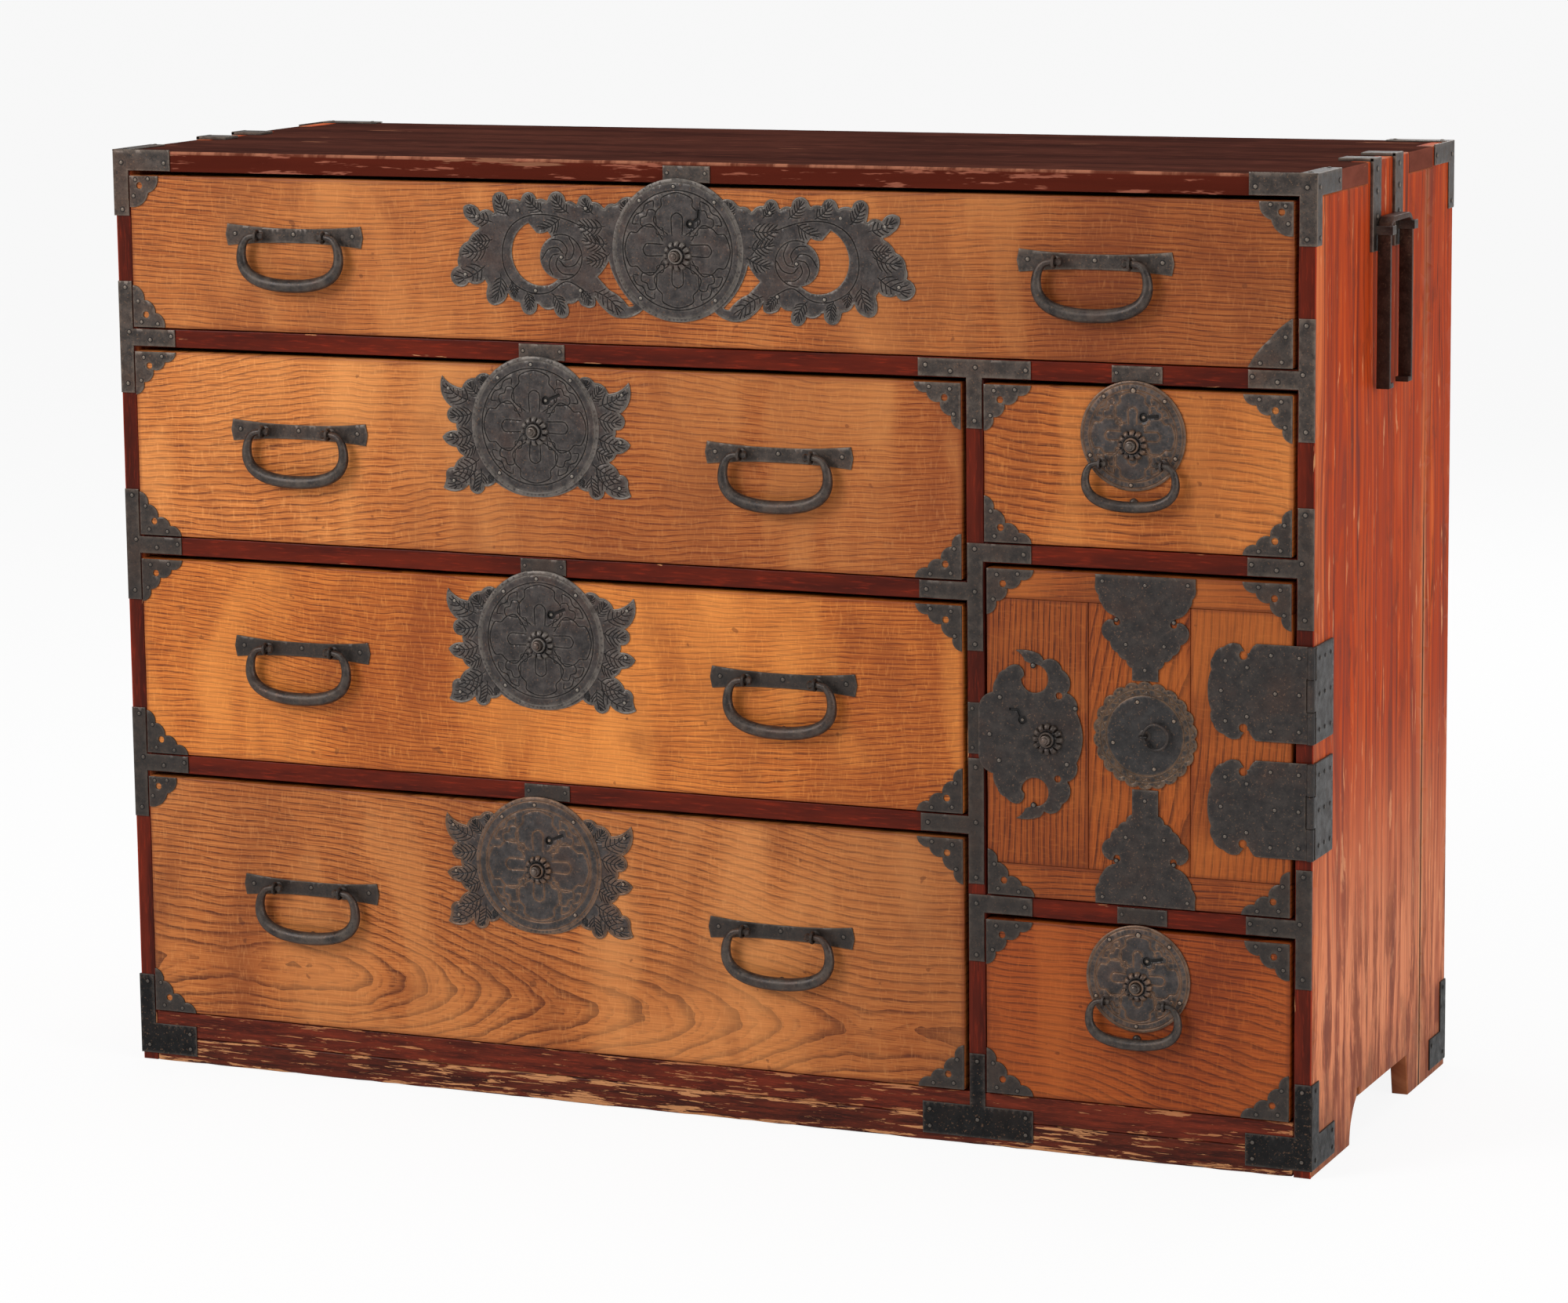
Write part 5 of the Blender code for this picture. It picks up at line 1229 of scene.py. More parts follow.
def rosette(work, x, z, scale=1.0):
    """Chrysanthemum washer round the button: a ring of petals, then a raised boss with the hole in it."""
    part = new_work()
    rows = [(radius * (scale if radius > 8 else 1), height) for radius, height in ROSETTE_ROWS]
    lathe(part, rows, (x, PLATE_FRONT, z), "Y", 120, rosette_ripple, True)
    worn = part.verts.layers.float["worn"]
    # Painted highlight lightens the petals towards their rims, and painted shade darkens the gaps between
    # petals and the dip round the boss; the boss is lighter too.
    for vert in part.verts:
        radius, turn = math.hypot(vert.co.x - x, vert.co.z - z), math.atan2(vert.co.z - z, vert.co.x - x)
        gap = (1 - abs(math.cos(turn * 6))) ** 3
        petal = 0.25 + 0.4 * min(1, max(0, (radius - 9) / 4)) - 0.8 * gap
        vert[worn] = petal if radius > 8.3 else (0.6 if radius < 7.2 else -0.8)
    poured(work, part)


def eyes(work, x, z, unit, wall):
    """The two split-pin eyes of a bail with their washers."""
    major, minor = unit * 0.084, unit * 0.0235
    for side in (-1, 1):
        middle = x + side * unit * EYE_AT_SHARE
        part = new_work()
        hoop(part, (middle, PIVOT_Y, z), (0, major, 0), (0, 0, major), minor, 28)
        low = (middle - minor, PIVOT_Y + major, z - minor * 1.5)
        boxed(part, low, (middle + minor, wall + 0.4, z + minor * 1.5), 0.5)
        lathe(part, [(0, 1.3), (3.6, 1.3), (4.6, 0.9), (4.9, -0.3), (0, -0.3)], (middle, wall, z), "Y", 26)
        poured(work, part)


def bail(name, x, z, unit):
    half = [(u * unit, v * unit, thick * unit) for u, v, thick in BAIL_SHARES]
    path = half + [(-u, v, thick) for u, v, thick in reversed(half[:-1])]
    line = curved(path, 1.5)
    work = new_work()
    bar(work, [(x + u, PIVOT_Y, z + v, r) for u, v, r in line], 22)
    part = piece(f"{name}_bail", name, work, "bail_iron", (name,))
    part.data.shade_smooth()


def stud(work, x, z, unit):
    middle = z + BAIL_SHARES[-1][1] * unit + (0.8 if unit == BAIL_HALF else 3)
    rows = [(0, 3.2), (1.8, 3.0), (3.2, 2.2), (4, 0.8), (4, -0.4), (0, -0.4)]
    lathe(work, rows, (x, FACE, middle), "Y", 24)


def corner_irons_of(name):
    left, right, low, high = front_of(name)
    places = ((left, low, 1, 1), (right, low, -1, 1), (left, high, 1, -1), (right, high, -1, -1))
    work = new_work()
    for index, (style, (x, z, turn_x, turn_z)) in enumerate(zip(CORNERS[name], places)):
        size, rows = CORNER_IRONS[style]
        outline = [(0, 0)] + arc_path(rows, size)
        share = size / 45
        hole = circle(3.2, 24, 15.5 * share, 13.5 * share)
        nails = [(10 * share, 5.5 * share), (30 * share, 4 * share), (6.5 * share, 28 * share)]
        if style == "wide":
            nails = [(9, 5), (31, 4.5), (5.5, 24)]
        place = lambda points: moved(flipped(points, turn_x, turn_z), x + turn_x * 0.4, z + turn_z * 0.4)
        rings = [place(outline)] + ([] if style == "plain" else [place(hole)])
        part = relief(rings, IRON_T + 0.3, seed=index + x * 0.01)
        nailed(part, place(nails), 1.7, 0.8)
        stamp(work, part, front_at(FACE - IRON_T))
    return work


def bored(made, x, z):
    """Cuts the button's bore into a front that is already placed."""
    cutter_work = bmesh.new()
    bmesh.ops.create_cone(cutter_work, cap_ends=True, segments=28, radius1=5.4, radius2=5.4, depth=15)
    cutter_work.transform(front_at(FACE + 5.5))
    cutter_work.transform(Matrix.Translation((x, 0, z)))
    cutter = finished("bore_draft", cutter_work)
    change = made.modifiers.new("Bore", "BOOLEAN")
    change.operation = "DIFFERENCE"
    change.solver = "EXACT"
    change.object = cutter
    mesh = bpy.data.meshes.new_from_object(made.evaluated_get(bpy.context.evaluated_depsgraph_get()))
    made.modifiers.clear()
    old, made.data = made.data, mesh
    bpy.data.meshes.remove(old)
    bpy.data.objects.remove(cutter)


def button(name):
    x, z, drop = LOCKS[name]
    rows = [(0, 12), (1.9, 11.8), (2.8, 11.1), (3.1, 9.9), (3.4, 9.2), (4.3, 8.9), (4.5, 8.3), (4.5, -6.8)]
    rows.append((0, -6.8))
    work = new_work()
    lathe(work, rows, (x, PLATE_FRONT, z - drop), "Y", 32)
    body = f"button_{name}"
    piece(f"{body}_knob", body, work, "button_iron", (f"lock_{body}",))


def door_lock(name, holes):
    x = LOCKS[name][0]
    outline = moved(mirrored(arc_path(DOOR_PLATE_ROWS, DOOR_PLATE_SIZE), 1, -1), DOOR_PLATE_X - x, 0)
    pierced = [circle(3.2, 24, 10.5, 37.5), circle(3.2, 24, 9, -38.5)]
    part = relief([outline, *holes, *pierced], IRON_T, seed=7.1)
    shaded_rim(part, holes[0])
    nailed(part, ((-47, -25), (18, -24.5), (-56, -1.5), (26, 27), (-46, 33), (-14, 64), (-14, -64)))
    return part


def wings(name):
    """The leaf wings under a round plate, with their openings, cut leaves and nails."""
    x, z, _ = LOCKS[name]
    outline = mirrored(arc_path(LONG_WING_ROWS if name == "top" else WING_ROWS, 1), -1, 1)
    rings = [outline, circle(LOCK_R * 0.8, 60)]
    spots = [(-1.36, 0.5), (-1.33, -0.17), (-1.3, -0.82), (1.36, 0.5), (1.33, -0.17), (1.3, -0.82)]
    if name == "top":
        for shares in (CRESCENT_ROWS, SICKLE_ROWS):
            opening = [tuple(p) for p in arc_path(shares, LOCK_R)[:-1]]
            rings += [opening, flipped(opening, -1, 1)]
        half = [(-3.3, -0.42), (-3.1, 0.4), (-2.45, 0.5), (-1.4, 0.55), (-2.2, -0.62), (-1.5, -0.6)]
        half.append((-1.79, -0.14))
        spots = half + flipped(half, -1, 1)

    def swell(u, v):
        return 0.22 * math.sin(math.hypot(u, v) * 0.16) * (math.hypot(u, v) > LOCK_R)

    cuts, contour = wing_lines(name, outline, rings)
    part = relief(rings, WING_T, cuts, swell, 3.5, seed=x * 0.03 + z * 0.01, rubbed=contour)
    nailed(part, flipped(spots, LOCK_R, LOCK_R), 1.6, 0.9)
    return part


def round_plate(name, holes, radius):
    """The domed round plate with its engraved flower, rubbed bright on three of the locks."""

    def dome(u, v):
        return 0.55 * (1 - (u * u + v * v) / radius**2)

    cuts = kept(flower_lines(radius), [circle(radius, 60), *holes], 1.2)
    cuts, bright = ([], cuts) if name in GILT else (cuts[1:], cuts[:1])
    outlines = [circle(radius - 0.3, 110), *holes]
    part = relief(outlines, IRON_T + 0.1, cuts, dome, 4, seed=LOCKS[name][0] * 0.02, rubbed=bright)
    shaded_rim(part, holes[0])
    turns = (50, 130, 230, 310, 93) if radius == LOCK_R else (47, 128, 205, 335, 268)
    spots = [(math.cos(turn * DEG) * radius, math.sin(turn * DEG) * radius) for turn in turns]
    nailed(part, flipped(spots, PLATE_NAIL_SHARE, PLATE_NAIL_SHARE), 1.7)
    if radius != LOCK_R:
        nail(part, 0.5, 40.5, 2.2, 0.7)
    return part


def marked(work, part, worn):
    """Adds a small part that is evenly worn or dark all over."""
    for vert in part.verts:
        vert[part.verts.layers.float["worn"]] = worn
    poured(work, part)


def lock_works(work, x, z, spots):
    """What shows through a keyhole: the pin that the key turns on, painted pale as a highlight, and a plate
    behind it, painted nearly black as the shade inside the lock.
    """
    (u, v), *_ = spots
    pin = new_work()
    rows = [(0, 0.6), (0.9, 0.5), (1.4, 0), (1.5, -1.4), (0, -1.4)]
    lathe(pin, rows, (x + u, PLATE_FRONT, z + v), "Y", 18)
    # The pin is painted pale all over as a highlight.
    marked(work, pin, 1.3)
    low = [min(p[k] for p in spots) - KEY_ROOM for k in range(2)]
    high = [max(p[k] for p in spots) + KEY_ROOM for k in range(2)]
    # The plate behind is painted nearly black, as the shade inside the keyhole.
    shaded_backing = new_work()
    corner = (x + high[0], PLATE_BACK + 0.25, z + high[1])
    boxed(shaded_backing, (x + low[0], PLATE_BACK - 0.12, z + low[1]), corner, 0.05)
    marked(work, shaded_backing, -1)


def lock_plate(name, body):
    """The engraved plate with its keyhole, nails and rosette."""
    x, z, drop = LOCKS[name]
    holes = [keyhole(*KEYHOLES[name]), circle(5, 30, 0, -drop)]
    small = name in SMALL_BAILS
    work = new_work()

    def laid(part, lift):
        stamp(work, part, front_at(PLATE_FRONT + lift, x, z))

    if name == "door":
        laid(door_lock(name, holes), 0)
    else:
        if not small:
            laid(wings(name), PLATE_BACK - WING_T - PLATE_FRONT)
        laid(round_plate(name, holes, SMALL_LOCK_R if small else LOCK_R), -0.1)
    lock_works(work, x, z, KEYHOLES[name])
    rosette(work, x, z - drop, 1.06 if name == "door" else 1.0)
    if small:
        eyes(work, *SMALL_BAILS[name], SMALL_BAIL_HALF, PLATE_FRONT)
    look = "door_iron" if name == "door" else "gilt_iron" if name in GILT else "lock_iron"
    piece(f"{name}_lock_plate", body, work, look, (f"lock_plate_{name}",))


def drawer(name, look):
    body = f"drawer_{name}"
    node = f"drawer_front_{name}"
    left, right, low, high = front_of(name)
    work = new_work()
    board(work, (left, FACE, low), (right, FACE + FRONT_T, high))
    made = piece(f"{name}_front", body, work, look, (node,))
    x, z, drop = LOCKS[name]
    bored(made, x, z - drop)
    work = corner_irons_of(name)
    for x, z in BAILS.get(name, ()):
        rows = arc_path(BOW_TIE_ROWS, BOW_TIE_HALF)
        outline = [tuple(p) for p in rows] + flipped(list(reversed(rows)), 1, -1)
        outline = [p for i, p in enumerate(outline) if (Vector(p) - Vector(outline[i - 1])).length > 0.05]
        part = relief([moved(outline, x, z)], IRON_T + 0.3, seed=x * 0.1 + z)
        nailed(part, moved(((-63, 1), (63, 1), (0, 1.5)), x, z))
        stamp(work, part, front_at(FACE - IRON_T))
        eyes(work, x, z, BAIL_HALF, FACE - IRON_T)
        stud(work, x, z, BAIL_HALF)
    if name in SMALL_BAILS:
        stud(work, *SMALL_BAILS[name], SMALL_BAIL_HALF)
    piece(f"{name}_irons", body, work, "frame_iron", (node,))
    lock_plate(name, body)
    button(name)
    for (x, z), which in zip(BAILS.get(name, ()), ("left", "right")):
        bail(f"bail_{name}_{which}", x, z, BAIL_HALF)
    if name in SMALL_BAILS:
        bail(f"bail_{name}", *SMALL_BAILS[name], SMALL_BAIL_HALF)


def door():
    left, right, low, high = front_of("door")
    back = FACE + FRONT_T
    seams = (left, *DOOR_SEAMS_X, right)
    for index, (start, end) in enumerate(zip(seams, seams[1:])):
        work = new_work()
        start, end = start + (SEAM if index else 0), end - (SEAM if index < 2 else 0)
        board(work, (start, FACE, DOOR_ENDS_Z[0] + SEAM), (end, back, DOOR_ENDS_Z[1] - SEAM), 0.7, 0.15)
        name = f"door_plank_{index + 1}"
        made = piece(name, "door", work, f"door_plank_{index}", ("door_panel",))
        if index == 0:
            bored(made, LOCKS["door"][0], LOCKS["door"][1] - LOCKS["door"][2])
    for which, under, over in (("lower", low, DOOR_ENDS_Z[0]), ("upper", DOOR_ENDS_Z[1], high)):
        work = new_work()
        board(work, (left, FACE, under), (right, back, over), 0.9, 0.25)
        piece(f"door_end_{which}", "door", work, "door_end", ("door_panel",))
    piece("door_corner_irons", "door", corner_irons_of("door"), "frame_iron", ("door_panel",))
    lock_plate("door", "door")
    button("door")
    pendant("top", high - 0.4, 1)
    pendant("bottom", low + 0.4, -1)
    ring_pull()
    for which, middle in zip(("lower", "upper"), HINGE_Z):
        hinge(which, middle)


def pendant(which, edge, turn):
    """The ornament plate that hangs from the door's top edge or stands on its bottom edge."""
    stem = abs(edge - RING_PLATE_Z) - RING_PLATE_R - FIT
    half = [tuple(p) for p in arc_path(ORNAMENT_ROWS, ORNAMENT_SIZE)]
    half.append((half[-1][0], -stem))
    part = relief([flipped(mirrored(half, -1, 1), 1, turn)], IRON_T, seed=turn * 2.2)
    spots = ((-40, -6), (40, -6), (0, -8), (-27, -40), (27, -40), (-18, -62), (18, -62), (0, -stem + 10))
    nailed(part, flipped(spots, 1, turn), 1.6, 0.8)
    work = new_work()
    stamp(work, part, front_at(PLATE_FRONT, DOOR_MIDDLE_X, edge))
    piece(f"door_pendant_{which}", "door", work, "door_iron", (f"door_ornament_{which}",))


def ring_pull():
    """The scalloped plate in the door's middle, its split pin and the ring."""

    def dish(u, v):
        return 0.9 * max(0.0, 1 - math.hypot(u, v) / 36) - 0.1

    def around(angle, rows):
        return curved([(math.cos(angle + d) * r, math.sin(angle + d) * r) for d, r in rows])

    turns = [math.tau * i / 22 for i in range(23)]
    outline = arc_path([(math.cos(turn), math.sin(turn), 0.5) for turn in turns], RING_PLATE_R * 0.945)[:-1]
    lines = [closed_circle(36.5, 80), closed_circle(42.5, 80)]
    lines += [around(turn + math.tau / 44, ((-0.07, 43.5), (0, 46), (0.07, 43.5))) for turn in turns[:-1]]
    wave = ((-0.11, 38), (-0.05, 40.5), (0.05, 38.5), (0.11, 41))
    lines += [around(math.tau * (i + 0.5) / 18, wave) for i in range(18)]
    part = relief([outline], IRON_T, (), dish, 4, seed=4.4, rubbed=lines)
    nailed(part, [(math.cos(turn) * 31, math.sin(turn) * 31) for turn in (0.5, 1.8, 3.4, 5.0)], 1.7, 0.8)
    work = new_work()
    x, z = DOOR_MIDDLE_X, RING_PLATE_Z
    stamp(work, part, front_at(PLATE_FRONT, x, z))
    eye_y = PLATE_FRONT - 5
    part = new_work()
    hoop(part, (x, eye_y, z), (RING_EYE_R, 0, 0), (0, RING_EYE_R, 0), 1.15, 24)
    boxed(part, (x - 1.2, eye_y + 3.2, z - 1), (x + 1.2, PLATE_FRONT + 0.6, z + 1), 0.3)
    rows = [(0, 1.6), (4.2, 1.5), (5.6, 0.9), (5.9, -0.3), (0, -0.3)]
    lathe(part, rows, (x, PLATE_FRONT, z), "Y", 30)
    poured(work, part)
    piece("door_ring_plate", "door", work, "ring_plate_iron", ("ring_plate",))
    work = new_work()
    hoop(work, (x + RING_R, eye_y, z), (RING_R, 0, 0), (0, 0, RING_R), 1.4, 60, 16)
    piece("door_ring", "ring", work, "ring_iron", ("ring_pull",))


def knuckle(inner, length):
    """The profile of a hinge's barrel from its bore outwards, with both its rims rounded."""
    outer, rim = HINGE_KNUCKLE_R, 0.4
    rounded = [(outer - rim, length), (outer, length - rim), (outer, rim), (outer - rim, 0)]
    return [(inner, length), *rounded, (inner, 0)]


def hinge(which, middle):
    third = HINGE_HALF / 3
    wall = HINGE_X - (2 + HINGE_KNUCKLE_R) / 2
    clear = HINGE_X - HINGE_KNUCKLE_R - 0.5
    shape = moved(mirrored([tuple(p) for p in arc_path(HINGE_ROWS, HINGE_HALF)], 1, -1), wall, 0)
    shape += [
        (wall, -HINGE_HALF), (wall, -third - FIT), (clear, -third - FIT), (clear, third + FIT),
        (wall, third + FIT), (wall, HINGE_HALF),
    ]
    part = relief([shape], IRON_T, seed=middle * 0.1)
    spots = [(-12, 33), (-12, 0), (-12, -33), (-38, 34), (-38, -34), (-60, 22), (-60, -22), (-80, 27)]
    spots += [(-80, -27), (-84, 0), (-34, 0)]
    nailed(part, moved(spots, HALF_W, 0), 1.7, 0.8)
    work = new_work()
    stamp(work, part, front_at(PLATE_FRONT, 0, middle))
    part = new_work()
    for low, high in ((-HINGE_HALF, -third - FIT / 2), (third + FIT / 2, HINGE_HALF)):
        lathe(part, knuckle(2.0, high - low), (HINGE_X, HINGE_Y, middle + low), "Z", 28, None, True)
    poured(work, part)
    piece(f"door_leaf_{which}", "door", work, "door_iron", (f"door_hinge_{which}",))
    edge, far = FRONT + FIT, -164
    half = third - FIT / 2
    part = relief([rectangle(edge, far, -HINGE_HALF, HINGE_HALF)], 2, seed=middle * 0.2)
    nailed(part, [(u, v) for u in (-205, -189, -172) for v in (-32, 0, 32)], 1.8)
    work = new_work()
    stamp(work, part, side_at(1, HALF_W + FIT + 2, middle))
    low = (HALF_W + FIT, HINGE_Y + FIT, middle - half + 0.4)
    boxed(work, low, (HALF_W + FIT + 2, edge + 1, middle + half - 0.4), 0.3)
    part = new_work()
    lathe(part, knuckle(0, half * 2), (HINGE_X, HINGE_Y, middle - half), "Z", 28)
    tall = HINGE_HALF * 2
    rows = [(0, tall), (1.2, tall - 0.2), (1.5, tall - 0.8), (1.5, 0.8), (0, 0)]
    lathe(part, rows, (HINGE_X, HINGE_Y, middle - HINGE_HALF), "Z", 20)
    poured(work, part)
    piece(f"side_leaf_{which}", "case", work, "door_iron", (f"side_hinge_{which}",))


def frame_iron(work, outline, nails, place, seed=0.0):
    part = relief([outline], IRON_T - FIT, seed=seed, grid=7)
    nailed(part, nails)
    stamp(work, part, place)


def branched(x, low, high, arms):
    """Outline of an upright iron with arms, each given as (side, lower edge, upper edge)."""
    half = IRON_LEG_W / 2
    outline = []
    for side in (1, -1):
        rim = [(half, low)]
        for which, under, over in arms:
            if which == side:
                rim += [(half, under), (IRON_REACH, under), (IRON_REACH, over), (half, over)]
        rim.append((half, high))
        corners = [point for point in rim if rim.count(point) == 1]
        outline += [(x + side * u, v) for u, v in corners[::side]]
    return outline


def bent(a, b, c, low, mid, high):
    """Outline of an L: an arm from a to c along its top, and a leg from b to c down to low."""
    return [(c, low), (c, high), (a, high), (a, mid), (b, mid), (b, low)]


def side_irons(side, rails):
    """Every iron that is nailed to one side of the case, on its front edge, its outer face and its top."""
    light, dark = new_work(), new_work()
    outer = HALF_W + IRON_T
    lid = CASE_H + IRON_T
    edge = FRONT - IRON_T
    far, near = IRON_FAR_X, IRON_NEAR_X
    face, wall, top = front_at(edge), side_at(side, outer), top_at(lid)

    def across(points):
        return flipped(points, side, 1)

    outline = across(bent(far, near, outer, IRON_LOW, IRON_ARM_LOW, lid))
    nails = across([(NAIL_ROW_X, NAIL_ROW_Z), (545, NAIL_ROW_Z), (NAIL_ROW_X, 839)])
    frame_iron(light, outline, nails, face, seed=side)
    outline = bent(WRAP_EDGE, -203, edge, IRON_LOW, IRON_ARM_LOW, lid)
    frame_iron(light, outline, [(-210, NAIL_ROW_Z), (-153, 886), (-209, 840)], wall, seed=side + 2)
    outline = across([(near, edge), (outer, edge), (outer, WRAP_EDGE), (near, WRAP_EDGE)])
    frame_iron(light, outline, across([(NAIL_ROW_X, -208), (NAIL_ROW_X, -153)]), top, seed=side + 3)
    outline = bent(150, REAR_INNER, REAR_EDGE, IRON_LOW, 877, lid)
    frame_iron(light, outline, [(207, NAIL_ROW_Z), (156, 886), (207, 840)], wall, seed=side + 4)
    outline = across([(far, REAR_INNER), (outer, REAR_INNER), (outer, REAR_EDGE), (far, REAR_EDGE)])
    frame_iron(light, outline, across([(NAIL_ROW_X, 207), (546, 207)]), top, seed=side + 5)
    outline = across(bent(far, near, outer, FOOT_TOP, FOOT_ARM, FOOT_LOW))
    nails = across([(NAIL_ROW_X, 79), (NAIL_ROW_X, 15), (546, 29), (546, 14)])
    frame_iron(dark, outline, nails, face, seed=side + 6)
    outline = bent(-148, -196, edge, FOOT_TOP, FOOT_ARM, FOOT_LOW)
    frame_iron(dark, outline, [(-206, 79), (-155, 30), (-155, 14), (-206, 15)], wall, seed=side + 7)
    outline = bent(162, REAR_INNER, REAR_EDGE, FOOT_TOP, FOOT_ARM, FOOT_LOW)
    frame_iron(dark, outline, [(207, 79), (168, 30), (207, 15)], wall, seed=side + 8)
    arm, leg = IRON_ARM_H / 2, IRON_REACH
    for rail in rails:
        middle = RAIL_Z[rail] + RAIL_T / 2
        outline = [(HALF_W, -leg), (HALF_W, leg), (near, leg), (near, arm), (far, arm), (far, -arm)]
        outline = across(moved([*outline, (near, -arm), (near, -leg)], 0, middle))
        nails = [(NAIL_ROW_X, 48), (589, 5), (543, 2), (NAIL_ROW_X, -45), (566, -2)]
        frame_iron(light, outline, across(moved(nails, 0, middle)), face, seed=middle * 0.1)
    for leg in STRAP_Y:
        carrying_strap(light, side, leg)
    return light, dark


def carrying_strap(work, side, leg):
    """A strap that hooks over the top edge, and the guide at its foot in which the loop slides."""
    face, half = HALF_W + STRAP_T, STRAP_W / 2
    strap = relief([rectangle(leg - half, leg + half, STRAP_FOOT, CASE_H + STRAP_T)], STRAP_T, seed=leg * 0.1)
    nailed(strap, [(leg, v) for v in (888, 868, 845)], 2.2, 1.0)
    stamp(work, strap, side_at(side, face))
    low, high = sorted((side * STRAP_END_X, side * face))
    strap = relief([rectangle(low, high, leg - half, leg + half)], 2.6, seed=leg * 0.2)
    nail(strap, side * (STRAP_END_X + 7), leg, 1.8, 0.1)
    stamp(work, strap, top_at(CASE_H + STRAP_T - 0.15))
    reach = LOOP_X + LOOP_T + 0.5
    rim = rectangle(*sorted((side * (HALF_W + 1.5), side * (reach + 2.5))), leg - 5.5, leg + 5.5)
    opening = rectangle(*sorted((side * (face + FIT), side * reach)), leg - 3, leg + 3)
    poured(work, slab([rim, opening], *GUIDE_Z, 0.5))


def case():
    body = "case"
    first, second, third = FINGER_CUTS
    for side, word in ((-1, "left"), (1, "right")):
        rails = ("top", f"{word}_upper", f"{word}_lower")
        node = f"side_panel_{word}"
        foot = [tuple(p) for p in arc_path(((-97, 0, -0.25), (-76, 40, 0)), 1)]
        outline = [(SIDE_FRONT, 0)] + foot + [(-74, 48), (-66, 48), (-64, 40), (86, 40), (94, 0), (BACK, 0)]
        outline += [(BACK, CASE_H), (third, CASE_H), (third, SIDE_TOP), (second, SIDE_TOP), (second, CASE_H)]
        outline += [(first, CASE_H), (first, SIDE_TOP), (SIDE_FRONT, SIDE_TOP)]
        seam = [[(128, 42), (128.3, 300), (127.8, 600), (128, 893)]]
        part = relief([outline], SIDE_T, seam, None, 26, 1.1, side * 3.3)
        work = new_work()
        stamp(work, part, side_at(side, HALF_W))
        piece(f"side_board_{word}", body, work, "side", (node,))
        work = new_work()
        low, high = sorted((side * INSIDE_X, side * HALF_W))
        board(work, (low, FRONT, 0), (high, -214.5, SIDE_TOP), 0.6, 0.25)
        piece(f"side_front_edge_{word}", body, work, "stile", (node,))
        light, dark = side_irons(side, rails)
        piece(f"side_irons_{word}", body, light, "frame_iron", (node,))
        piece(f"foot_irons_{word}", body, dark, "dark_iron", (node,))
    inner = INSIDE_X - FIT
    half = [(HALF_W, FRONT), (HALF_W, first - FIT), (inner, first - FIT), (inner, second + FIT)]
    half += [(HALF_W, second + FIT), (HALF_W, third - FIT), (inner, third - FIT), (inner, BACK)]
    outline = half + flipped(half[::-1], -1, 1)
    joints = [[(-598, 60), (0, 60.4), (598, 60)]]
    part = relief([outline], 19, joints, None, 30, 1.3, 5.5)
    work = new_work()
    stamp(work, part, top_at(CASE_H))
    piece("top_planks", body, work, "top", ("top_board",))
    work = new_work()
    strike(work, STRIKE_X["top"], 884, 7.6)
    piece("top_strike", body, work, "frame_iron", ("top_board",))
    rails = (
        ("top", -INSIDE_X, INSIDE_X, ("left_upper", "right_upper")),
        ("left_upper", -INSIDE_X, STILE_LEFT, ("left_middle",)),
        ("left_lower", -INSIDE_X, STILE_LEFT, ("left_lower",)),
        ("right_upper", STILE_RIGHT, INSIDE_X, ()),
        ("right_lower", STILE_RIGHT, INSIDE_X, ("right_lower",)),
    )
    for name, left, right, strikes in rails:
        low = RAIL_Z[name]
        node = f"rail_board_{name}"
        work = new_work()
        board(work, (left + FIT, FRONT, low), (right - FIT, BACK - BACK_T - FIT, low + RAIL_T), 1.1, 0.4)
        piece(f"rail_{name}", body, work, "rail", (node,))
        work = new_work()
        for lock in strikes:
            strike(work, STRIKE_X[lock], low + RAIL_T / 2, 7.5)
        if name == "top":
            under, over = arm_at(name)
            foot = low + RAIL_T / 2 - IRON_REACH
            outline = branched(STILE_X, foot, over, ((-1, under, over), (1, under, over)))
            nails = [(236, 718), (284, 717), (332, 716), (283, 669), (260, 713)]
            frame_iron(work, outline, nails, front_at(FRONT - IRON_T))
        if len(work.verts):
            piece(f"rail_irons_{name}", body, work, "frame_iron", (node,))
        else:
            work.free()
    stile()
    base()
    back()


def strike(work, x, z, half):
    part = relief([rectangle(x - 23.5, x + 23.5, z - half, z + half)], IRON_T + 0.3, seed=x * 0.05)
    nailed(part, ((x - 19, z + 1), (x + 19, z + 1)), 1.5, 0.7)
    stamp(work, part, front_at(FRONT - IRON_T))


def arm_at(rail):
    """The lower and upper edge of an iron's arm along a rail."""
    middle = RAIL_Z[rail] + RAIL_T / 2
    return middle - IRON_ARM_H / 2, middle + IRON_ARM_H / 2


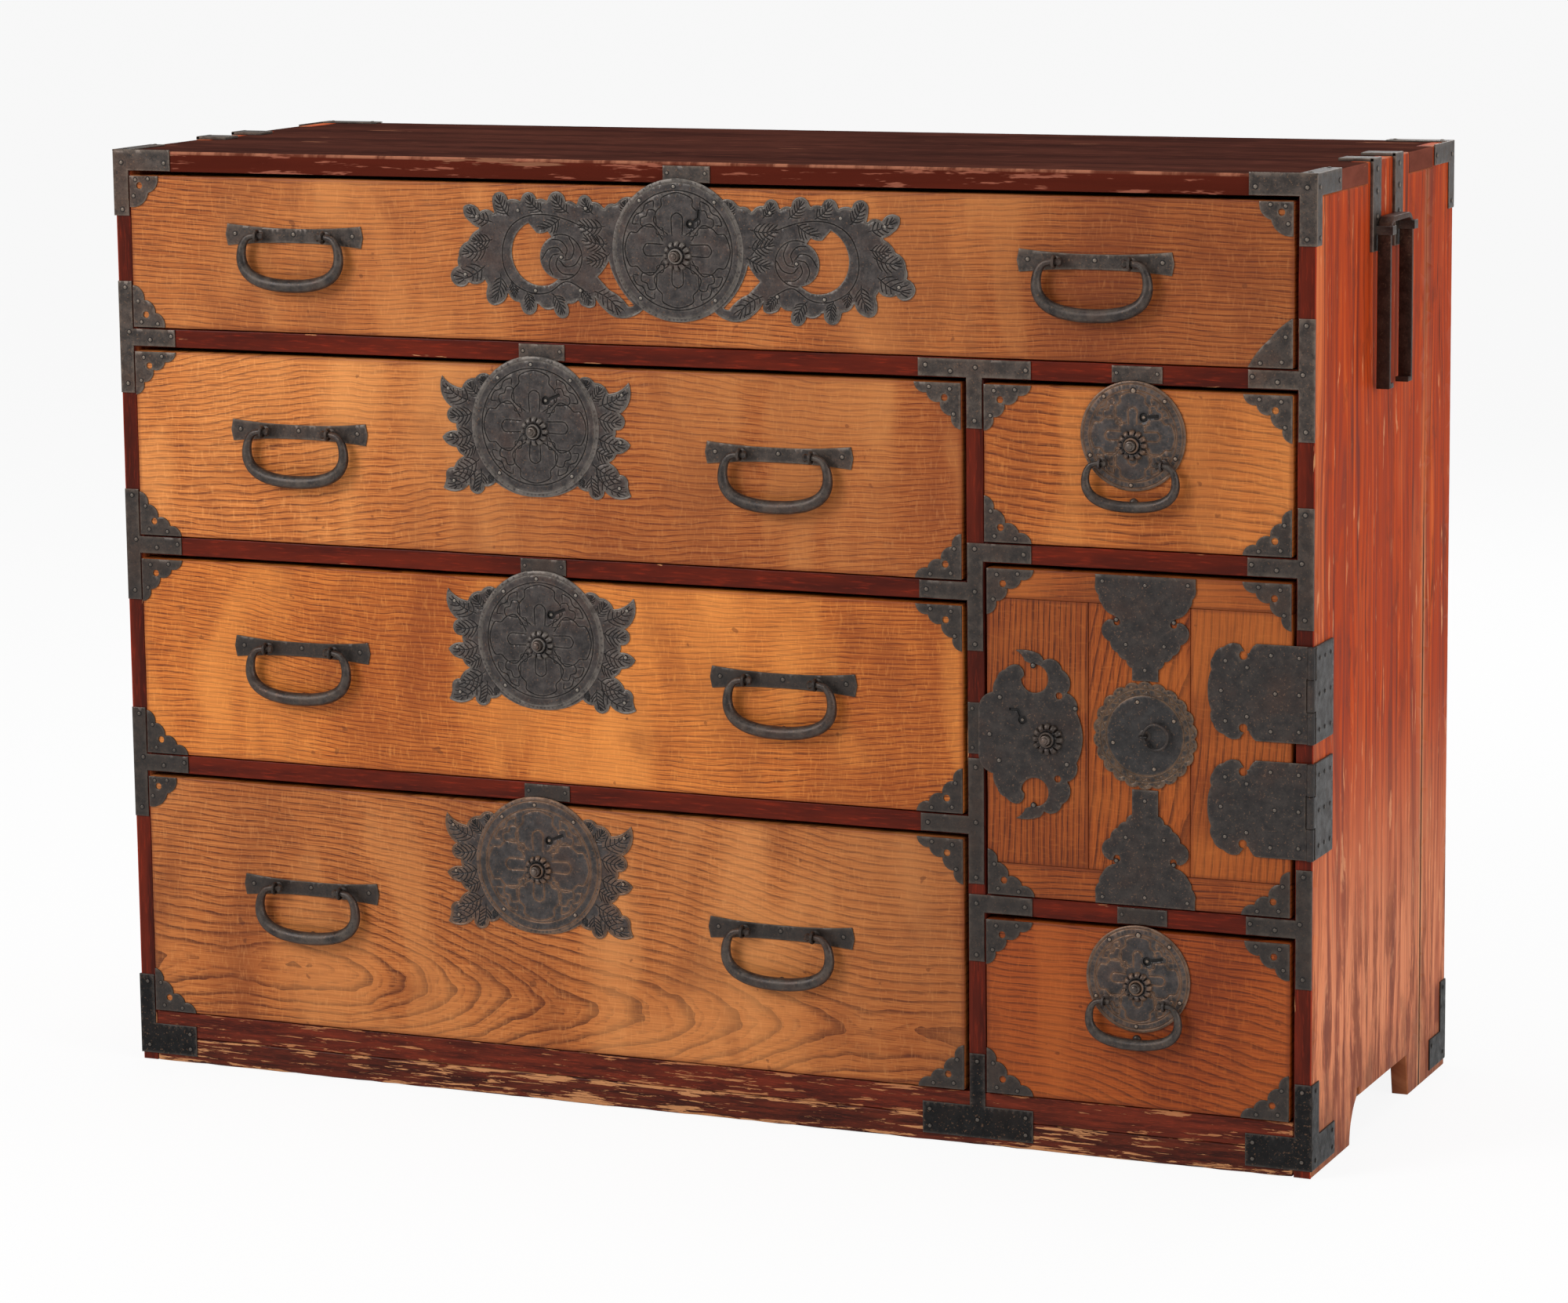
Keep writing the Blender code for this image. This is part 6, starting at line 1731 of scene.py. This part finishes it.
def stile():
    work = new_work()
    high = (STILE_RIGHT, BACK - BACK_T - FIT, RAIL_Z["top"] - FIT)
    board(work, (STILE_LEFT, FRONT, INSIDE_FLOOR + FIT), high, 1.1, 0.4)
    piece("middle_stile", "case", work, "stile", ("centre_stile",))
    work = new_work()
    u = STILE_X
    face = front_at(FRONT - IRON_T)
    high, low = RAIL_Z["right_upper"] + RAIL_T / 2, RAIL_Z["left_upper"] + RAIL_T / 2
    arms = ((1, *arm_at("right_upper")), (-1, *arm_at("left_upper")))
    nails = [(u, high + 3), (u + 47, high), (u - 47, low), (u, low), (u, low - 48)]
    frame_iron(work, branched(u, low - IRON_REACH, high + IRON_ARM_H / 2, arms), nails, face, seed=1.7)
    middle = RAIL_Z["left_lower"] + RAIL_T / 2
    nails = [(u, middle + 54), (u - 47, middle), (u, middle + 3), (u, middle - 48)]
    top = middle + IRON_REACH + IRON_ARM_H / 2
    outline = branched(u, middle - IRON_REACH, top, ((-1, *arm_at("left_lower")),))
    frame_iron(work, outline, nails, face, seed=2.7)
    middle = RAIL_Z["right_lower"] + RAIL_T / 2
    nails = [(u + 47, middle), (u, middle), (u, middle - 48)]
    under, over = arm_at("right_lower")
    frame_iron(work, branched(u, middle - IRON_REACH, over, ((1, under, over),)), nails, face, seed=3.7)
    part = relief([rectangle(u - 7.5, u + 7.5, 365.5, 412.5)], IRON_T + 0.3, seed=4.7)
    nailed(part, ((u - 3, 371), (u - 3, 407)), 1.5, 0.7)
    stamp(work, part, face)
    piece("middle_irons", "case", work, "frame_iron", ("centre_stile",))


def base():
    inner = INSIDE_X - FIT
    work = new_work()
    board(work, (-inner, FRONT, BASE_H), (inner, BACK - BACK_T - FIT, INSIDE_FLOOR), 1.3, 0.5)
    piece("base_board", "case", work, "base", ("bottom_board",))
    work = new_work()
    board(work, (-inner, FRONT, 0), (inner, FRONT + BASE_T, BASE_H - FIT), 2.0, 0.9, 14)
    piece("base_plinth", "case", work, "plinth", ("base_rail",))
    work = new_work()
    outline = branched(STILE_X, FOOT_LOW, FOOT_TOP, ((-1, FOOT_LOW, FOOT_ARM), (1, FOOT_LOW, FOOT_ARM)))
    nails = moved([(-47, 30), (-47, 14), (47, 30), (47, 14), (0, 79), (0, 24)], STILE_X, 0)
    frame_iron(work, outline, nails, front_at(FRONT - IRON_T), seed=6.1)
    piece("base_iron", "case", work, "dark_iron", ("bottom_board",))


def back():
    """The back of the case: six boards laid across it, nailed along both ends."""
    inner, low, high, count = INSIDE_X - FIT, BASE_H, INSIDE_TOP - FIT, 6
    tall = (high - low) / count
    work, part = new_work(), new_work()
    for i in range(count):
        over = low + (i + 1) * tall - 0.4
        board(work, (-inner, BACK - BACK_T, low + i * tall), (inner, BACK - 0.5, over), 1.3, 0.4)
        heights = [low + (i + share) * tall for share in (0.18, 0.5, 0.82)]
        nailed(part, [(u, v) for u in (9 - inner, inner - 9) for v in heights], 2.2, 0.3)
    piece("back_boards", "case", work, "rear", ("back_panel",))
    work = new_work()
    stamp(work, part, Matrix(((-1, 0, 0, 0), (0, 0, 1, BACK - 0.31), (0, 1, 0, 0), (0, 0, 0, 1))))
    piece("back_nails", "case", work, "dark_iron", ("back_panel",))


def carrying_loop(side, word):
    left, right = -45, 29.5
    low, high, thick, corner, foot, foot_top = 690, 845, 5, 15.5, 14, 694.5
    bend = math.tan(math.pi / 8)
    rows = (
        (left, low, 0), (left + foot, low, 0), (left + foot, foot_top, 0), (left + thick, foot_top, 0),
        (left + thick, high - corner, -bend), (left + corner, high - thick, 0),
        (right - corner, high - thick, -bend), (right - thick, high - corner, 0),
        (right - thick, foot_top, 0), (right - foot, foot_top, 0), (right - foot, low, 0), (right, low, 0),
        (right, high - corner, bend), (right - corner, high, 0), (left + corner, high, bend),
        (left, high - corner, 0),
    )
    part = slab([[tuple(p) for p in arc_path(rows, 1)[:-1]]], 0, LOOP_T, 0.7)
    work = new_work()
    stamp(work, part, side_at(side, LOOP_X))
    piece(f"loop_bar_{word}", f"loop_{word}", work, "loop_iron", (f"carrying_loop_{word}",))


# Each front's seed, heart, rings, waver, tint and where painted shade darkens it towards the right.
DRAWER_WOODS = {
    "top": (1.0, (1.5, 0.05, 0.012), 64, 0.08, (0.92, 0.83, 0.74), (0.12, 0.42, 0.36)),
    "left_upper": (2.3, (-0.3, 0.05, -0.05), 57, 0.12, (1.05, 0.99, 0.91), (-0.42, -0.15, 0.42)),
    "left_middle": (3.9, (0.95, 0.06, 0.03), 66, 0.1, (1.03, 0.92, 0.72), (0.0, 0.25, 0.16)),
    "left_lower": (5.2, (0.1, 0.055, 0.055), 52, 0.09, (0.93, 0.86, 0.8), (0.06, 0.24, 0.32)),
    "right_upper": (6.1, (0.8, 0.05, -0.12), 42, 0.1, (0.94, 0.83, 0.68)),
    "right_lower": (7.7, (-0.02, 0.06, 0.06), 46, 0.1, (0.78, 0.57, 0.37)),
}
PLANK_WOODS = (
    (8.8, (1.1, 0.05, 0.02), 60, 0.04, (0.74, 0.57, 0.38)),
    (9.4, (0.5, 0.04, 0.12), 42, 0.05, (0.78, 0.6, 0.38)),
    (6.6, (0.4, 0.04, -0.1), 44, 0.05, (0.76, 0.58, 0.38)),
)
# Each lacquer's seed, colours of the lacquer and of the wood, chips, streaks, shine and front edge.
LACQUERS = {
    "rail": (1.3, (100, 31, 15), (66, 20, 12), (206, 140, 96), 0.34),
    "stile": (2.9, (98, 31, 16), (62, 20, 12), (206, 140, 96), 0.4, (60, 60, 6)),
    "base": (4.1, (108, 42, 26), (62, 24, 17), (196, 128, 84), 0.82, (12, 60, 150)),
    "plinth": (5.7, (96, 40, 26), (44, 20, 16), (210, 146, 98), 1.06, (13, 60, 185)),
    "top": (3.3, (78, 44, 36), (54, 31, 27), (150, 98, 74), 0.4, (3.4, 22, 60), 0.0, (92, 36, 25)),
}
# Each iron's dark, pale and rusty colours, metal, how bright it is rubbed and highlighted, the rubbed colour,
# and how much darker it grows towards the bottom.
IRONS = {
    "lock": ((39, 35, 35), (75, 68, 65), (74, 54, 46), 0.5, 0.85, (126, 118, 110)),
    "frame": ((44, 38, 35), (80, 69, 62), (80, 58, 46), 0.5, 0.45, (136, 120, 106), 0.55),
    "loop": ((50, 32, 26), (84, 58, 47), (82, 50, 38), 0.3, 0.5, (120, 92, 78)),
    "dark": ((18, 18, 19), (33, 32, 32), (42, 33, 29), 0.2, 0.3),
    "door": ((31, 27, 27), (60, 53, 49), (62, 44, 36), 0.45, 0.42, (110, 96, 84)),
    "gilt": ((42, 39, 39), (76, 70, 68), (78, 57, 48), 0.5, 0.85, (136, 102, 76)),
    "ring_plate": ((32, 29, 29), (58, 55, 54), (58, 44, 37), 0.45, 0.8, (126, 96, 70)),
    "ring": ((30, 26, 25), (62, 54, 50), (70, 48, 38), 0.5, 0.5),
    "bail": ((42, 37, 36), (84, 75, 68), (78, 56, 45), 0.6, 0.5),
    "button": ((62, 54, 50), (112, 102, 94), (92, 66, 56), 0.7, 0.9),
}
LOOKS = {f"front_{name}": front_wood(f"front_{name}_wood", "X", *row) for name, row in DRAWER_WOODS.items()}
for index, row in enumerate(PLANK_WOODS):
    LOOKS[f"door_plank_{index}"] = front_wood(f"door_plank_wood_{index}", "Z", *row)
LOOKS["door_end"] = front_wood("door_end_wood", "X", 4.7, (1.2, 0.05, 0.03), 56, 0.05, (0.75, 0.58, 0.4))
LOOKS |= {name: lacquer(f"{name}_lacquer", *row) for name, row in LACQUERS.items()}
LOOKS["side"] = side_wood("side_panel_wood", 2.0)
LOOKS["tray"] = plain_wood("tray_wood", (204, 166, 118), (164, 122, 78), 1.0)
LOOKS["rear"] = plain_wood("rear_wood", (160, 112, 70), (104, 66, 40), 3.0)
LOOKS |= {f"{name}_iron": iron(f"{name}_iron_finish", *row) for name, row in IRONS.items()}

case()
for drawer_name in ("top", "left_upper", "left_middle", "left_lower", "right_upper", "right_lower"):
    drawer(drawer_name, f"front_{drawer_name}")
door()
carrying_loop(-1, "left")
carrying_loop(1, "right")
for node_name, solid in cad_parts.items():
    if node_name.startswith("tray_"):
        solid.data.materials.clear()
        solid.data.materials.append(LOOKS["tray"])


def paper(name, colour, rough, share):
    """A pale floor that shows paler to the camera and in reflections, and still takes the shadow."""
    shade = Shade(name)
    tone = shade.cloud(((3, 3, 3),), 2.0, 0.5)
    shade.colour = shade.mix(tone, rgb(*colour), rgb(*(min(255, c + 4) for c in colour)))
    shade.done(rough)
    glow = shade.add("ShaderNodeEmission")
    glow.inputs["Color"].default_value = (1, 1, 1, 1)
    rays = shade.add("ShaderNodeLightPath").outputs
    seen = shade.math("MAXIMUM", rays["Is Camera Ray"], rays["Is Glossy Ray"])
    seen = shade.math("MAXIMUM", seen, rays["Is Transmission Ray"])
    blend = shade.add("ShaderNodeMixShader")
    shade.feed(blend.inputs[0], shade.times(seen, share))
    shade.tree.links.new(shade.shader.outputs[0], blend.inputs[1])
    shade.tree.links.new(glow.outputs[0], blend.inputs[2])
    out = next(n for n in shade.tree.nodes if n.type == "OUTPUT_MATERIAL")
    shade.tree.links.new(blend.outputs[0], out.inputs["Surface"])
    return shade.made


LAMPS = (
    ("key", (-2.4, -3.4, 2.8), 2.2, 126), ("fill", (4.3, -1.2, 1.6), 2.4, 66),
    ("top", (0, 0.2, 3.6), 2.4, 34), ("rear", (0.5, 3.4, 2.4), 2.2, 40),
)


def stage():
    floor_mesh = bpy.data.meshes.new("floor")
    work = bmesh.new()
    bmesh.ops.create_grid(work, x_segments=1, y_segments=1, size=30)
    work.to_mesh(floor_mesh)
    work.free()
    floor = bpy.data.objects.new("floor", floor_mesh)
    floor.location = (0, 0, -0.0005)
    bpy.context.scene.collection.objects.link(floor)
    floor_mesh.materials.append(paper("floor_paper", (236, 236, 236), 0.9, 0.9))
    world = bpy.data.worlds.new("studio")
    world.use_nodes = True
    bpy.context.scene.world = world
    tree = world.node_tree
    sky = tree.nodes["Background"]
    sky.inputs["Color"].default_value = (1, 1, 1, 1)
    sky.inputs["Strength"].default_value = 0.42
    white = tree.nodes.new("ShaderNodeBackground")
    white.inputs["Color"].default_value = (1, 1, 1, 1)
    white.inputs["Strength"].default_value = 1.0
    rays = tree.nodes.new("ShaderNodeLightPath")
    most = tree.nodes.new("ShaderNodeMath")
    most.operation = "MAXIMUM"
    tree.links.new(rays.outputs["Is Camera Ray"], most.inputs[0])
    tree.links.new(rays.outputs["Is Transmission Ray"], most.inputs[1])
    blend = tree.nodes.new("ShaderNodeMixShader")
    tree.links.new(most.outputs[0], blend.inputs[0])
    tree.links.new(sky.outputs[0], blend.inputs[1])
    tree.links.new(white.outputs[0], blend.inputs[2])
    tree.links.new(blend.outputs[0], tree.nodes["World Output"].inputs["Surface"])
    for name, place, size, power in LAMPS:
        lamp = bpy.data.lights.new(name, "AREA")
        lamp.shape = "DISK"
        lamp.size = size
        lamp.energy = power
        light = bpy.data.objects.new(name, lamp)
        light.location = place
        light.rotation_mode = "QUATERNION"
        light.rotation_quaternion = (Vector((0, 0, 0.45)) - Vector(place)).to_track_quat("-Z", "Y")
        bpy.context.scene.collection.objects.link(light)


PHOTO_WIDTH = 2000
FOCAL_LENGTH = 6237
DROP = 71
SENSOR = 36


def camera():
    """The photograph's view: its focal length and drop are in pixels of the photograph."""
    yaw, pitch, roll = -23.45 * DEG, 9.2 * DEG, -0.65 * DEG
    forward = Vector((math.sin(yaw) * math.cos(pitch), math.cos(yaw) * math.cos(pitch), -math.sin(pitch)))
    right = Vector((math.cos(yaw), -math.sin(yaw), 0))
    up = right.cross(forward)
    across = right * math.cos(roll) + up * math.sin(roll)
    above = up * math.cos(roll) - right * math.sin(roll)
    lens = bpy.data.cameras.new("photo_view")
    lens.sensor_width = SENSOR
    lens.lens = FOCAL_LENGTH * SENSOR / PHOTO_WIDTH
    lens.shift_y = -DROP / PHOTO_WIDTH
    lens.clip_end = 60
    view = bpy.data.objects.new("photo_view", lens)
    view.rotation_mode = "QUATERNION"
    view.rotation_quaternion = Matrix((across, above, -forward)).transposed().to_quaternion()
    view.location = (1.854, -4.272 + CASE_Y * MM, 1.216)
    bpy.context.scene.collection.objects.link(view)
    bpy.context.scene.camera = view


stage()
camera()
bpy.context.scene.view_settings.view_transform = "Standard"
